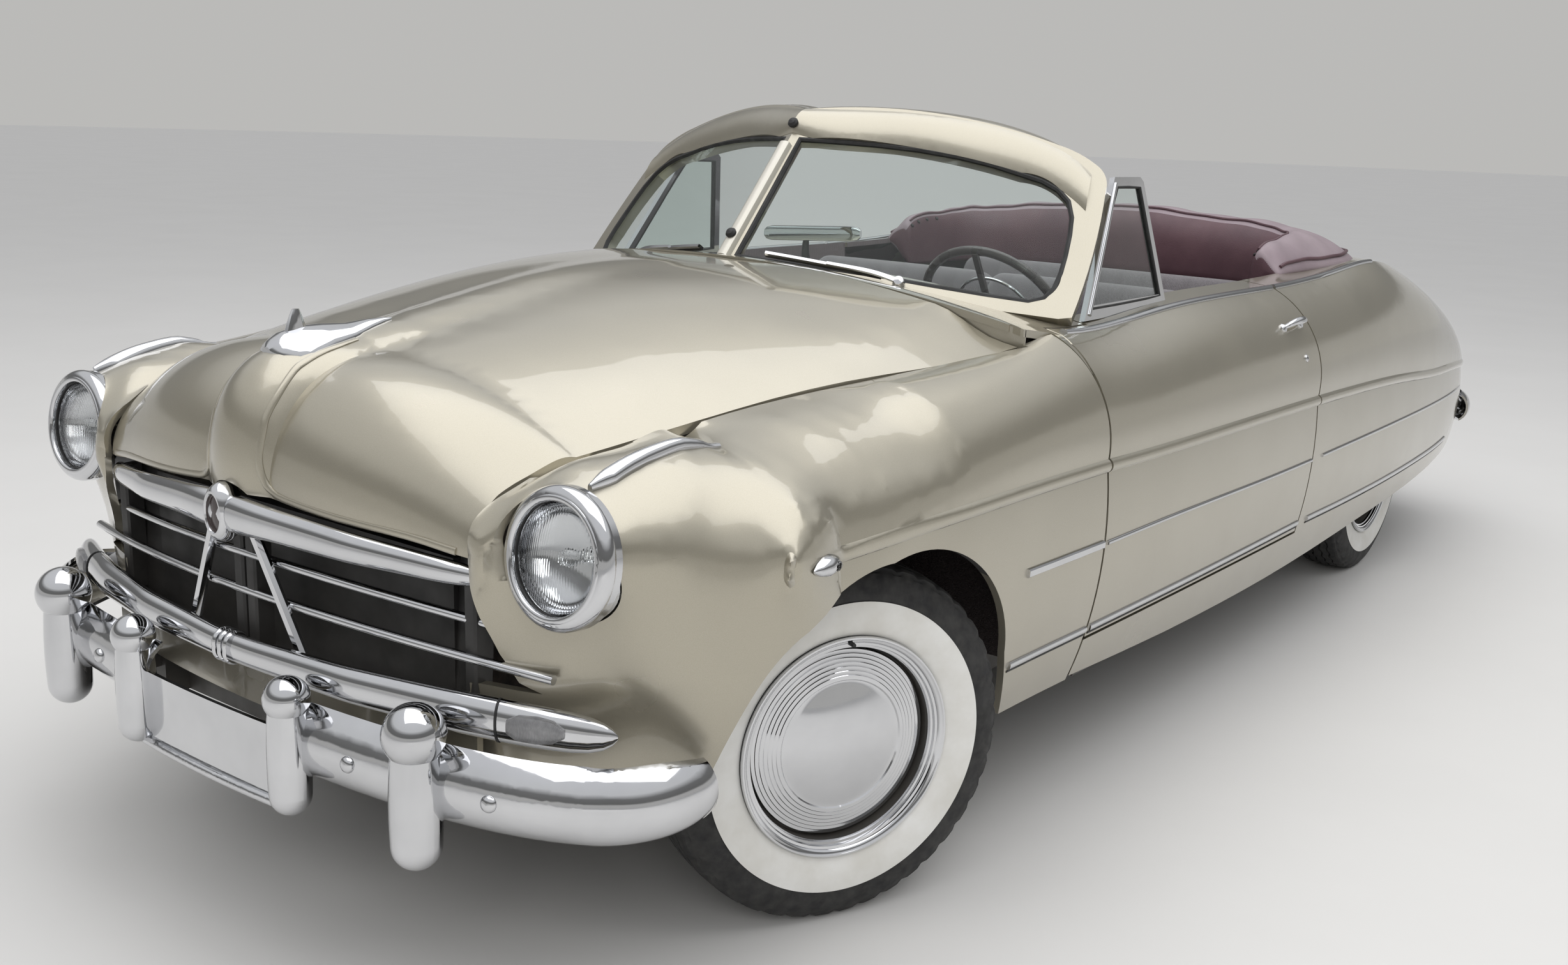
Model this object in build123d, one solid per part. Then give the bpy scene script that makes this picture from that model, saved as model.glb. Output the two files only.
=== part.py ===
"""Full-size 1950s two-door convertible with its top folded, built as separate body panels, doors,
lids, seats, running gear and wheels. Millimetres, +Z up, +X is the car's left, and the nose
points to -Y. The origin is on the ground below the middle of the overall length."""
from build123d import *
from math import cos, radians, sin
import os

os.makedirs("parts", exist_ok=True)

# Driving sizes of the whole car
overall_length = 5290.0
front_overhang = 905.0          # front axle line to the faces of the front guards
wheelbase = 3150.0
front_track = 1497.0
rear_track = 1410.0
tyre_radius = 356.0
tyre_half_width = 92.0
rim_radius = 203.0              # outer edge of the rim flange
trim_radius = 227.0             # outer edge of the bright ring over the flange
cap_radius = 186.0              # hub cap
skin = 16.0                     # thickness of the fixed outer panels
lid_skin = 16.0                 # thickness of hood, deck and trunk lid
door_thickness = 85.0
panel_gap = 8.0                 # clearance round doors and lids
steer_angle = 25.0              # the front wheels are parked turned to the car's right
kingpin_inset = 60.0            # wheel centre plane inwards to the steering axis

# Levels and widths that the body sections share
crease_x = 957.0                # centre plane to the side crease at the doors
sill_x = 890.0
belt_x = 778.0                  # centre plane to the outer edge of the door tops
belt_z = 1074.0
bead_proud = 9.0                # how far the crease stands out from the panels
bead_rise = 20.0

# Stations along the car, measured from the parked left front wheel
front_y = -overall_length / 2
front_axle = front_y + front_overhang
rear_axle = front_axle + wheelbase
wheel_lead = kingpin_inset * sin(radians(steer_angle))
datum = front_axle - wheel_lead
door_front = datum + 722.0
door_length = 1310.0
door_rear = door_front + door_length
door_sill_z = 406.0             # bottom edge of the doors
cockpit_front = datum + 955.0
cockpit_rear = datum + 2835.0
cockpit_x = 690.0               # centre plane to the inner faces of the doors
lid_front = datum + 3330.0
lid_half_width = 560.0
lid_bottom_z = 585.0
stretch_from = 3300.0           # stations behind this one follow the overall length
tail_stretch = (overall_length / 2 - datum - stretch_from) / 1110.0


def tail_s(s):
    """Station of a row or fitting once the tail is stretched to the overall length."""
    return s if s < stretch_from else stretch_from + (s - stretch_from) * tail_stretch


def outline(start, moves):
    """Closed wire: each move is (end,) for a straight edge or (middle, end) for an arc."""
    edges, here = [], Vector(*start)
    for move in moves:
        end = Vector(*move[-1])
        if len(move) == 2:
            edges.append(Edge.make_three_point_arc(here, Vector(*move[0]), end))
        else:
            edges.append(Edge.make_line(here, end))
        here = end
    return Wire(edges)


def prism(points, plane, depth, both=False):
    """Straight block whose outline is given in a plane."""
    face = plane * make_face(Polyline(*points, close=True))
    return extrude(face, amount=depth, both=both)


def block(x0, x1, y0, y1, z0, z1):
    """Plain box between opposite corners."""
    size = Box(abs(x1 - x0), abs(y1 - y0), abs(z1 - z0))
    return Pos((x0 + x1) / 2, (y0 + y1) / 2, (z0 + z1) / 2) * size


def mirrored(shape):
    """The same shape on the car's right side."""
    return mirror(shape, about=Plane.YZ)


def bar(points, radius):
    """Round bar along straight runs joined at the given points."""
    shape = None
    for start, end in zip(points, points[1:]):
        a, b = Vector(*start), Vector(*end)
        run = Solid.make_cylinder(radius, (b - a).length, Plane(origin=a, z_dir=b - a))
        shape = run if shape is None else shape + run
        shape = shape + Pos(b.X, b.Y, b.Z) * Sphere(radius)
    return shape


def save(name, shape):
    export_step(shape, f"parts/{name}.step")


# Body hull sections across the car. Columns: station, sill x z, lower side x z, crease x z,
# shoulder x z, belt x z, top z on the centre plane
hull_rows = [
    (330, 885, 306, 942, 520, 956, 799, 898, 965, 745, 1026, 1164),
    (722, 888, 298, 945, 520, crease_x, 793, 905, 975, 798, 1062, 1150),
    (1300, sill_x, 276, 946, 520, crease_x, 779, 903, 975, 775, 1069, 1130),
    (2000, sill_x, 266, 943, 520, 955, 766, 905, 965, belt_x, 1072, 1125),
    (2500, 888, 276, 938, 510, 950, 750, 908, 955, 782, 1082, 1130),
    (2900, 885, 288, 930, 500, 942, 728, 906, 940, 780, 1095, 1136),
    (3300, 880, 304, 914, 500, 924, 696, 892, 885, 740, 1045, 1092),
    (3700, 862, 330, 886, 505, 888, 672, 848, 820, 690, 955, 1012),
    (3940, 834, 350, 854, 510, 852, 652, 808, 775, 645, 885, 930),
    (4120, 786, 372, 802, 510, 796, 634, 752, 728, 590, 812, 840),
    (4240, 690, 396, 702, 505, 694, 612, 656, 680, 510, 738, 754),
    (4310, 540, 420, 548, 500, 542, 588, 512, 635, 390, 668, 684),
]
tail_start = 3700.0
tail_end = hull_rows[-1][0]


def hull_loft(inset, drop):
    """Closed hull, with every section drawn in by an inset and its bottom edge lowered."""
    wires = []
    for s, sx, sz, lx, lz, cx, cz, mx, mz, bx, bz, top in hull_rows:
        tail = max(0.0, (s - tail_start) / (tail_end - tail_start))
        y = datum + tail_s(s) - inset * tail
        side = inset * (1.0 - 0.4 * tail)
        proud = bead_proud * (1.0 - 0.7 * tail)
        sx, lx, cx, mx, bx = sx - side, lx - side, cx - side, mx - 0.8 * side, bx - 0.4 * side
        sz, mz, bz, top = sz - drop, mz - 0.6 * inset, bz - 0.95 * inset, top - inset
        under, over = (cx - proud, cz - bead_rise / 2), (cx - proud, cz + bead_rise)
        wires.append(outline((-sx, y, sz), [
            ((-lx, y, lz), (-under[0], y, under[1])),
            ((-cx, y, cz), (-over[0], y, over[1])),
            ((-mx, y, mz), (-bx, y, bz)),
            ((0, y, top), (bx, y, bz)),
            ((mx, y, mz), (over[0], y, over[1])),
            ((cx, y, cz), (under[0], y, under[1])),
            ((lx, y, lz), (sx, y, sz)),
            ((-sx, y, sz),)]))
    return Solid.make_loft(wires)


hull = hull_loft(0.0, 0.0)
hull_inside = hull_loft(skin, 60.0)
hull_shell = hull - hull_inside
hull_thick = hull - hull_loft(door_thickness, 60.0)


def door_outline(grow):
    """Side outline of a door, grown on every side by a clearance."""
    front, rear, low = door_front - grow, door_rear + grow, door_sill_z - grow
    return [(front, low), (rear, low - 18), (rear, 1240), (front + 84, 1240),
            (front + 84, belt_z + 14), (front + 50, belt_z - 2), (front + 20, 1043),
            (front + 5, 1000), (front, 950)]


def door_prism(grow, inner):
    return prism(door_outline(grow), Plane.YZ.offset(inner), 400)


lid_cut_points = [(-lid_half_width, 1400), (-lid_half_width, lid_bottom_z + 90),
                  (-lid_half_width + 110, lid_bottom_z), (lid_half_width - 110, lid_bottom_z),
                  (lid_half_width, lid_bottom_z + 90), (lid_half_width, 1400)]


def lid_prism(grow):
    """Block that cuts the trunk lid out of the hull."""
    points = []
    for x, z in lid_cut_points:
        points.append((x + (grow if x > 0 else -grow), z - grow))
    face = Plane.XZ.offset(-(lid_front - grow)) * make_face(Polyline(*points, close=True))
    return extrude(face, amount=-1400)


# Plan line between hood and fenders: half width and station, then the bowed rear edge
hood_line = [(536, -900), (536, -690), (545, -640), (560, -590), (582, -500), (630, -250),
             (680, 0), (746, 330), (800, 600)]
hood_back_s = 492.0


def hood_prism(shrink):
    """Upright block inside the hood line, drawn in by a clearance."""
    right = [(-(x - shrink), datum + s) for x, s in hood_line]
    left = [(x - shrink, datum + s) for x, s in hood_line]
    corner_y = datum + 600 - shrink
    left[-1], right[-1] = (left[-1][0], corner_y), (right[-1][0], corner_y)
    edges = [Edge.make_line(a, b) for a, b in zip(left, left[1:])]
    edges.append(Edge.make_three_point_arc(left[-1], (0, datum + hood_back_s - shrink), right[-1]))
    edges += [Edge.make_line(a, b) for a, b in zip(right[::-1], right[-2::-1])]
    edges.append(Edge.make_line(right[0], left[0]))
    return extrude(Plane.XY.offset(600) * make_face(Wire(edges)), amount=700)


cockpit = block(-cockpit_x, cockpit_x, cockpit_front, cockpit_rear, 900, 1400)


def body_sides():
    behind = block(0, 1100, door_front, rear_y_limit, 0, 1400)
    side = hull_shell & behind
    side = side - door_prism(panel_gap, 600) - cockpit - lid_prism(panel_gap)
    deck_zone = block(-lid_half_width, lid_half_width, cockpit_rear - 1, lid_front + 30, 900, 1400)
    cowl_zone = block(0, 1100, door_front - 1, cockpit_front, 990, 1400)
    side = side - deck_zone - cowl_zone
    side = side.solids().sort_by(SortBy.VOLUME)[-1]
    save("body_side_left", side)
    save("body_side_right", mirrored(side))


rear_y_limit = overall_length / 2 + 100
body_sides()

deck = hull_shell & block(-lid_half_width, lid_half_width, cockpit_rear, lid_front - panel_gap, 900, 1400)
save("rear_deck", deck.solids().sort_by(SortBy.VOLUME)[-1])

lid = hull_shell & lid_prism(0.0)
lid = lid.solids().sort_by(SortBy.VOLUME)[-1]
save("trunk_lid", lid)

door = hull_thick & door_prism(0.0, cockpit_x + 2)
pillar_notch = block(600, 752, door_front - 1, cockpit_front + panel_gap, 982, 1300)
door = door - pillar_notch
door = door.solids().sort_by(SortBy.VOLUME)[-1]
save("door_left", door)
save("door_right", mirrored(door))


# Front fender sections on upright planes that fan round the corner of the car. Columns: plan x
# and station of the plane's origin, turn of the plane, then distance and height of the bottom
# edge, lower side, crease, shoulder and top edge, and how far the crease stands out
fender_rows = [
    (400, 1000, 0, 488, 284, 545, 520, 557, 787, 504, 975, 382, 1067, bead_proud),
    (400, 722, 0, 488, 298, 545, 520, 557, 793, 505, 975, 392, 1064, bead_proud),
    (400, 330, 0, 485, 306, 542, 520, 556, 799, 499, 968, 334, 1030, bead_proud),
    (400, 0, 0, 480, 312, 540, 520, 555, 800, 486, 948, 268, 1006, bead_proud),
    (400, -250, 0, 465, 330, 528, 520, 543, 798, 482, 930, 218, 976, 6),
    (400, -250, 20, 452, 380, 524, 560, 545, 803, 492, 928, 214, 968, 1),
    (400, -250, 33, 446, 400, 526, 660, 554, 820, 508, 925, 232, 960, 0.6),
    (400, -250, 44, 440, 405, 500, 672, 560, 836, 516, 925, 262, 950, 0.6),
    (400, -250, 54, 436, 410, 474, 672, 490, 830, 466, 935, 300, 944, 0.6),
    (400, -250, 64, 428, 420, 458, 655, 462, 812, 448, 915, 360, 925, 0.6),
    (400, -250, 75, 420, 430, 452, 600, 458, 795, 462, 840, 452, 882, 0.6),
]
valance_seam_z = 592.0
fan_row = 4


def fender_wire(row):
    """Closed thin section of the fender skin."""
    ox, s, turn, bn, bz, ln, lz, cn, cz, mn, mz, tn, tz, proud = row
    ux, uy = cos(radians(turn)), -sin(radians(turn))
    under_z, over_z = cz - bead_rise / 2, cz + bead_rise

    def at(n, z):
        return (ox + n * ux, datum + s + n * uy, z)

    chord = Vector(tn - cn, tz - cz).normalized()
    top_run = Vector(tn - mn, tz - mz).normalized()
    inner_mid = (mn - skin * chord.Y, mz + skin * chord.X)
    inner_top = (tn - skin * top_run.Y, tz + skin * top_run.X)
    return outline(at(bn, bz), [
        (at(ln, lz), at(cn - proud, under_z)),
        (at(cn, cz), at(cn - proud, over_z)),
        (at(mn, mz), at(tn, tz)),
        (at(*inner_top),),
        (at(*inner_mid), at(cn - proud - skin, over_z)),
        (at(cn - proud - skin, under_z),),
        (at(ln - skin, lz), at(bn - skin, bz)),
        (at(bn, bz),)])


def joined_loft(wires, turn_row):
    """Two smooth lofts that share one section, where straight stations turn into a fan."""
    return Solid.make_loft(wires[:turn_row + 1]) + Solid.make_loft(wires[turn_row:])


fender_ring = joined_loft([fender_wire(row) for row in fender_rows], fan_row)

# Front wheel arch, station and height
arch = Plane.YZ.offset(560) * make_face(Wire([
    Edge.make_line((datum - 455, 200), (datum - 455, 480)),
    Edge.make_three_point_arc((datum - 455, 480), (datum - 425, 600), (datum - 330, 700)),
    Edge.make_three_point_arc((datum - 330, 700), (datum - 225, 746), (datum - 96, 757)),
    Edge.make_three_point_arc((datum - 96, 757), (datum + 232, 655), (datum + 340, 475)),
    Edge.make_line((datum + 340, 475), (datum + 470, 200)),
    Edge.make_line((datum + 470, 200), (datum - 455, 200))]))
arch_cut = extrude(arch, amount=600)

# Grille opening between the fenders, half width and height
opening_points = [(0, 800), (538, 800), (540, 763), (552, 713), (574, 653), (603, 606), (640, 592), (0, 592)]
grille_opening = prism(opening_points + [(-x, z) for x, z in opening_points[-2:0:-1]],
                       Plane.XZ.offset(-(datum - 500)), 400)

# Headlights
headlight_x = 698.0
headlight_y = datum - 658.0
headlight_z = 834.0
headlight_tilt = 8.0
bezel_radius = 114.0
lens_radius = 90.0
headlight_axis = Vector(0, -cos(radians(headlight_tilt)), sin(radians(headlight_tilt)))
headlight_plane = Plane(origin=(headlight_x, headlight_y, headlight_z), z_dir=headlight_axis)


def turned(plane, points):
    """Solid turned about a plane's normal, from radius and height pairs; two pairs make an arc."""
    moves = []
    for item in points[1:]:
        pairs = item if isinstance(item[0], tuple) else (item,)
        moves.append(tuple((r, 0, h) for r, h in pairs))
    start = (points[0][0], 0, points[0][1])
    moves.append((start,))
    return plane * revolve(make_face(outline(start, moves)), Axis.Z, 360)


def dome(radius, z, rise):
    """Middle and top of the arc that domes a round edge at height z."""
    ball = (radius ** 2 + rise ** 2) / (2 * rise)
    across = radius / 2
    return ((across, z + rise - ball + (ball ** 2 - across ** 2) ** 0.5), (0, z + rise))


def front_fenders():
    ahead = block(300, 1100, front_y - 100, door_front - panel_gap, 0, 1400)
    fender = (fender_ring & ahead) - arch_cut
    low_front = block(300, 1100, front_y - 100, datum - 200, 0, valance_seam_z)
    side_valance = fender & low_front
    fender = fender - low_front
    fender = fender - headlight_plane * Cylinder(bezel_radius - 8, 300)
    fender = fender - headlight_plane * Pos(0, 0, 100 - 18) * Cylinder(bezel_radius + 1, 200)
    fender = fender - hood_prism(0.0) - grille_opening - block(300, 788, datum + 594, door_front, 900, 1400)
    fender = fender.solids().sort_by(SortBy.VOLUME)[-1]
    save("front_fender_left", fender)
    save("front_fender_right", mirrored(fender))
    side_valance = side_valance.solids().sort_by(SortBy.VOLUME)[-1]
    return side_valance


side_valance = front_fenders()

# Strip where the fenders cover the corners of the cowl
fender_top_zone = block(788, 1100, datum + 590, door_front - 6, 900, 1400)

# Hood sections, with a nose rib between two lobes. Columns: station and height of the plane's
# origin, pitch of the plane from upright, then half width and distance of the edge, of the lobe
# and of the valley beside the rib, and distance of the rib's crest
hood_rows = [
    (722, 1062, 0, 798, 0, 430, 62.8, 90, 86.6, 88),
    (330, 1026, 0, 745, 0, 400, 99.5, 90, 135, 140),
    (0, 1000, 0, 690, 0, 370, 117, 90, 152, 163),
    (-250, 972, 0, 640, 0, 345, 119, 90, 145, 163),
    (-500, 850, 0, 590, 90, 320, 195, 92, 221, 246),
    (-500, 850, 25, 577, 97, 313, 206, 92, 229, 264),
    (-500, 850, 50, 563, 112, 306, 222, 92, 245, 301),
    (-500, 850, 75, 548, 151, 298, 238, 92, 253, 292),
    (-500, 850, 92, 541, 180, 292, 242, 90, 255, 277),
    (-500, 850, 108, 536, 197, 286, 244, 88, 253, 268),
]


def hood_wire(row):
    s, z0, pitch, edge_x, edge, lobe_x, lobe, valley_x, valley, rib = row
    uy, uz = -sin(radians(pitch)), cos(radians(pitch))

    def at(x, d):
        return (x, datum + s + d * uy, z0 + d * uz)

    moves = [(at(-lobe_x, lobe), at(-valley_x, valley)),
             (at(0, rib), at(valley_x, valley)),
             (at(lobe_x, lobe), at(edge_x, edge)),
             (at(edge_x - 4, edge - lid_skin),),
             (at(lobe_x, lobe - lid_skin), at(valley_x, valley - lid_skin)),
             (at(0, rib - lid_skin), at(-valley_x, valley - lid_skin)),
             (at(-lobe_x, lobe - lid_skin), at(-edge_x + 4, edge - lid_skin)),
             (at(-edge_x, edge),)]
    return outline(at(-edge_x, edge), moves)


hood = joined_loft([hood_wire(row) for row in hood_rows], fan_row)
lip_cut = Plane.XZ.offset(-(datum - 300)) * make_face(Wire([
    Edge.make_three_point_arc((-600, 796), (0, 840), (600, 796)),
    Edge.make_line((600, 796), (600, 600)),
    Edge.make_line((600, 600), (-600, 600)),
    Edge.make_line((-600, 600), (-600, 796))]))
emblem_notch = Plane(origin=(0, datum - 500, 804), z_dir=(0, -1, 0)) * extrude(Ellipse(54, 64), amount=400)
hood = (hood & hood_prism(panel_gap)) - extrude(lip_cut, amount=600) - emblem_notch
hood = hood.solids().sort_by(SortBy.VOLUME)[-1]
save("hood", hood)

# Cowl between the hood and the windshield; the feet of the pillars stand inside the doors' tops
cowl_z_low = 990.0
pillar_side_x = 744.0
cowl = hull_shell & (block(-800, 800, datum + hood_back_s - 20, door_front, cowl_z_low, 1400)
                     + block(-1100, 1100, door_front - 6, cockpit_front - 1, cowl_z_low, 1400))
cowl_door_cut = door_prism(panel_gap, pillar_side_x)
fender_side = block(800, 1100, datum, door_front - 6, 0, 1400)
cowl = cowl - cowl_door_cut - mirrored(cowl_door_cut) - hood_prism(0.0)
cowl = cowl - fender_side - mirrored(fender_side)
corner_zone = block(757, 1100, datum + 400, datum + 595, 900, 1400)
cowl = cowl - fender_top_zone - mirrored(fender_top_zone) - corner_zone - mirrored(corner_zone)
save("cowl", cowl.solids().sort_by(SortBy.VOLUME)[-1])

# Valance below the grille
valance_front = datum - 690.0
middle_valance = Plane.XY.offset(430) * make_face(Wire([
    Edge.make_three_point_arc((-538, valance_front), (0, datum - 735), (538, valance_front)),
    Edge.make_line((538, valance_front), (534, valance_front + skin)),
    Edge.make_three_point_arc((534, valance_front + skin), (0, datum - 735 + skin),
                              (-534, valance_front + skin)),
    Edge.make_line((-534, valance_front + skin), (-538, valance_front))]))
middle_valance = extrude(middle_valance, amount=90)
front_valance = side_valance + middle_valance + mirrored(side_valance)
save("front_valance", front_valance)


# Windshield: two flat panes that meet at a middle post. Outlines run across and up the left pane
pane_foot = Vector(0, datum + 551, 1151)
pane_head = Vector(0, datum + 813, 1446)
pane_outer_foot = Vector(679, datum + 858, 1102)
frame_front = 10.0              # the frame's front and rear faces, from the panes' middle plane
frame_rear = -30.0
pane_thickness = 6.0

pane_across = (pane_outer_foot - pane_foot).normalized()
pane_normal = pane_across.cross(pane_head - pane_foot).normalized()
pane_plane = Plane(origin=pane_foot, x_dir=pane_across, z_dir=pane_normal)
frame_outline = outline((0, -24), [
    ((795, -34),), ((825, -26),),
    ((848, 150), (853, 326)),
    ((845, 368), (822, 394)),
    ((780, 420), (726, 440)),
    ((420, 496), (0, 440)),
    ((0, -24),)])
glass_outline = outline((30, 27), [
    ((108, 380),),
    ((400, 387), (650, 349)),
    ((738, 322), (774, 285)),
    ((790, 200), (785, 87)),
    ((768, 25), (723, 2)),
    ((380, 18), (30, 27))])

# Domed header above the panes. Columns: across, up to the pane's edge, up to the crest, depth
header_rows = [(10, 376, 470, 1.0), (163, 380, 500, 1.0), (320, 385, 516, 1.0), (470, 380, 515, 1.0),
               (608, 358, 496, 0.85), (700, 336, 468, 0.65), (770, 300, 432, 0.45),
               (815, 262, 392, 0.3)]


def header_wire(row):
    """Closed section of the header, across the left pane's plane."""
    across, edge, crest, deep = row

    def at(up, out):
        return pane_plane.from_local_coords(Vector(across, up, out))

    return outline(at(edge, 11), [
        (at((edge + crest) / 2, 24), at(crest - 2, -12)),
        (at(crest + 14 * deep, -12 - 20 * deep), at(crest + 15 * deep, -14 - 50 * deep)),
        (at(crest - 24, -20 - 75 * deep),),
        (at(edge - 6, -24),),
        (at(edge, 11),)])


def windshield():
    plate = extrude(make_face(frame_outline), amount=frame_front - frame_rear)
    frame = pane_plane * Pos(0, 0, frame_rear) * plate
    glass = make_face(glass_outline)
    hole = extrude(pane_plane * glass, amount=2 * frame_front - frame_rear, both=True)
    half = block(0, 900, datum + 300, datum + 1500, 900, 1700)
    header = Solid.make_loft([header_wire(row) for row in header_rows])
    frame = (((frame + header) - hole) & half) - hull
    pane = extrude(pane_plane * glass, amount=pane_thickness / 2, both=True) - hull
    save("windshield_frame", frame + mirrored(frame))
    save("windshield_glass", Compound([*pane.solids(), *mirrored(pane).solids()]))


windshield()

# Vent windows that stand on the doors
vent_base_x = 732.0
vent_lean = (775.0 - 720.0) / 294.0
vent_thickness = 14.0


def vent_window():
    corners = [(datum + 968, belt_z - 12), (datum + 1416, belt_z - 12),
               (datum + 1346, 1368), (datum + 1330, 1380), (datum + 1190, 1382)]
    inner = [(datum + 1012, belt_z + 20), (datum + 1384, belt_z + 20),
             (datum + 1324, 1356), (datum + 1204, 1360)]
    plane = Plane(origin=(vent_base_x, 0, belt_z), x_dir=(0, 1, 0), z_dir=(1, 0, vent_lean))
    slope = (1 + vent_lean ** 2) ** 0.5
    rim = make_face(Polyline(*[(y, (z - belt_z) * slope) for y, z in corners], close=True))
    hole = make_face(Polyline(*[(y, (z - belt_z) * slope) for y, z in inner], close=True))
    frame = extrude(plane * (rim - hole), amount=vent_thickness / 2, both=True) - hull
    glass = extrude(plane * hole, amount=2.5, both=True)
    save("vent_window_left", Compound([*frame.solids(), *glass.solids()]))
    save("vent_window_right", Compound([*mirrored(frame).solids(), *mirrored(glass).solids()]))


vent_window()

# Headlights: bezel rings and domed lenses
bezel = turned(headlight_plane, [
    (lens_radius, -70), (bezel_radius - 10, -70), (bezel_radius - 10, -18), (bezel_radius, -18),
    (bezel_radius, -4), ((bezel_radius - 4, 14), (bezel_radius - 14, 20)),
    ((lens_radius + 6, 22), (lens_radius, 12))])
lens = turned(headlight_plane, [(0, -60), (lens_radius, -60), (lens_radius, 2), dome(lens_radius, 2, 18)])
save("headlight_bezels", Compound([*bezel.solids(), *mirrored(bezel).solids()]))
save("headlight_lenses", Compound([*lens.solids(), *mirrored(lens).solids()]))


# Grille bars, struts and emblem housing, all carried by the upright posts behind them
def bow(end, centre, radius_y, radius_z):
    """Bowed bar of elliptic section through the middle of the car."""
    path = Edge.make_three_point_arc((-end[0], datum + end[1], end[2]), (0, datum + centre[1], centre[2]),
                                     (end[0], datum + end[1], end[2]))
    start = path @ 0
    plane = Plane(origin=start, z_dir=path % 0, x_dir=(0, 0, 1))
    return sweep(plane * Ellipse(radius_z, radius_y), path=path)


def tapered_bar(rows):
    """Bar of changing elliptic section. Columns: x, station, z, turn, half height, half depth."""
    wires = []
    for x, s, z, turn, high, deep in rows:
        along = (cos(radians(turn)), sin(radians(turn)), 0)
        plane = Plane(origin=(x, datum + s, z), z_dir=along, x_dir=(0, 0, 1))
        wires.append((plane * Ellipse(high, deep)).wire())
    half = Solid.make_loft(wires)
    return half + mirrored(half)


upper_bar = tapered_bar([
    (0, -786, 804, 0, 54, 30), (30, -785, 804, 2, 48, 28), (62, -784, 804, 4, 36, 23),
    (105, -782, 803, 6, 29, 20), (300, -755, 792, 12, 26, 18), (480, -702, 778, 22, 21, 15),
    (536, -674, 772, 28, 17, 12), (550, -666, 770, 30, 8, 6)])
emblem_face = Plane(origin=(0, datum - 808, 804), z_dir=(0, -1, 0)) * extrude(Ellipse(19, 40), amount=20)
upper_bar = upper_bar - emblem_face
thin_bar_a = bow((585, -650, 688), (0, -747, 722), 9, 8)
thin_bar_b = bow((673, -648, 626), (0, -747, 652), 9, 8)
lower_bar = tapered_bar([
    (0, -788, 558, 0, 26, 19), (60, -787, 558, 3, 27, 20), (300, -768, 558, 8, 32, 22),
    (520, -722, 556, 15, 36, 24), (640, -684, 553, 20, 36, 24), (718, -652, 551, 27, 32, 21),
    (762, -627, 549, 32, 21, 14), (779, -614, 548, 36, 9, 6)])
ring_plane = Plane(origin=(-17, datum - 788, 558), z_dir=(1, 0, 0), x_dir=(0, 0, 1))
for offset in (0, 13, 26):
    lower_bar = lower_bar + ring_plane * Pos(0, 0, offset) * extrude(Ellipse(31, 24), amount=8)
strut = bar([(62, datum - 766, 760), (161, datum - 752, 580)], 9)
post = block(-24, 24, datum - 770, datum - 700, 500, 800)
side_post = block(500, 530, datum - 700, datum - 640, 520, 790)
grille = upper_bar + thin_bar_a + thin_bar_b + lower_bar + strut + mirrored(strut) + post
grille = grille + side_post + mirrored(side_post)
grille = grille - fender_ring - mirrored(fender_ring) - front_valance
save("grille", grille.solids().sort_by(SortBy.VOLUME)[-1])

radiator = block(-440, 440, datum - 650, datum - 580, 420, 780)
save("radiator", radiator)


# Bumpers: open channels with a rounded face that wrap the corners. Columns: x, distance behind
# the foremost point of the face, turn of the section, lower z, upper z, depth of the section
bumper_wall = 8.0
bumper_turn_row = 4
front_bar_rows = [
    (0, 0, 0, 386, 519, 42), (300, 10, 4, 386, 519, 42), (530, 38, 11, 386, 519, 42),
    (700, 84, 21, 386, 519, 42), (800, 134, 35, 386, 519, 42), (860, 191, 54, 387, 518, 42),
    (893, 261, 73, 390, 516, 40), (899, 306, 90, 394, 511, 36), (894, 346, 97, 400, 504, 30)]
rear_bar_rows = [
    (0, 0, 0, 396, 520, 40), (300, 10, 4, 396, 520, 40), (520, 34, 10, 396, 520, 40),
    (690, 78, 22, 396, 520, 40), (776, 124, 38, 396, 520, 40), (825, 180, 58, 397, 519, 40),
    (850, 246, 78, 400, 516, 36), (854, 290, 88, 406, 510, 30)]
front_face_y = datum - 846.0
rear_face_y = overall_length / 2 - 8.0


def bumper_bar(rows, face_y, sign):
    """Left half of a bumper bar; sign is -1 at the nose and +1 at the tail."""
    wires = []
    for x, back, turn, low, high, deep in rows:
        ox, oy = sin(radians(turn)), sign * cos(radians(turn))
        y = face_y - sign * back
        middle = (low + high) / 2

        def at(out, z):
            return (x + out * ox, y + out * oy, z)

        wires.append(outline(at(-deep, low), [
            (at(0, middle), at(-deep, high)),
            (at(-deep, high - bumper_wall),),
            (at(-bumper_wall, middle), at(-deep, low + bumper_wall)),
            (at(-deep, low),)]))
    return joined_loft(wires, bumper_turn_row)


neck_inset = 3.0


def guard(x, y, z_low, z_high, head, body):
    """Upright overrider with a bulb on a narrower body; head and body are their radii."""
    neck = body - neck_inset
    neck_drop = head + (head ** 2 - neck ** 2) ** 0.5
    return turned(Plane.XY.offset(0) * Pos(x, y, 0), [
        (0, z_low), ((body * sin(radians(45)), z_low + body * (1 - cos(radians(45)))), (body, z_low + body)),
        ((body + 1, (z_low + z_high) / 2 - 20), (neck, z_high - neck_drop)),
        ((head, z_high - head), (0, z_high))])


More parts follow.
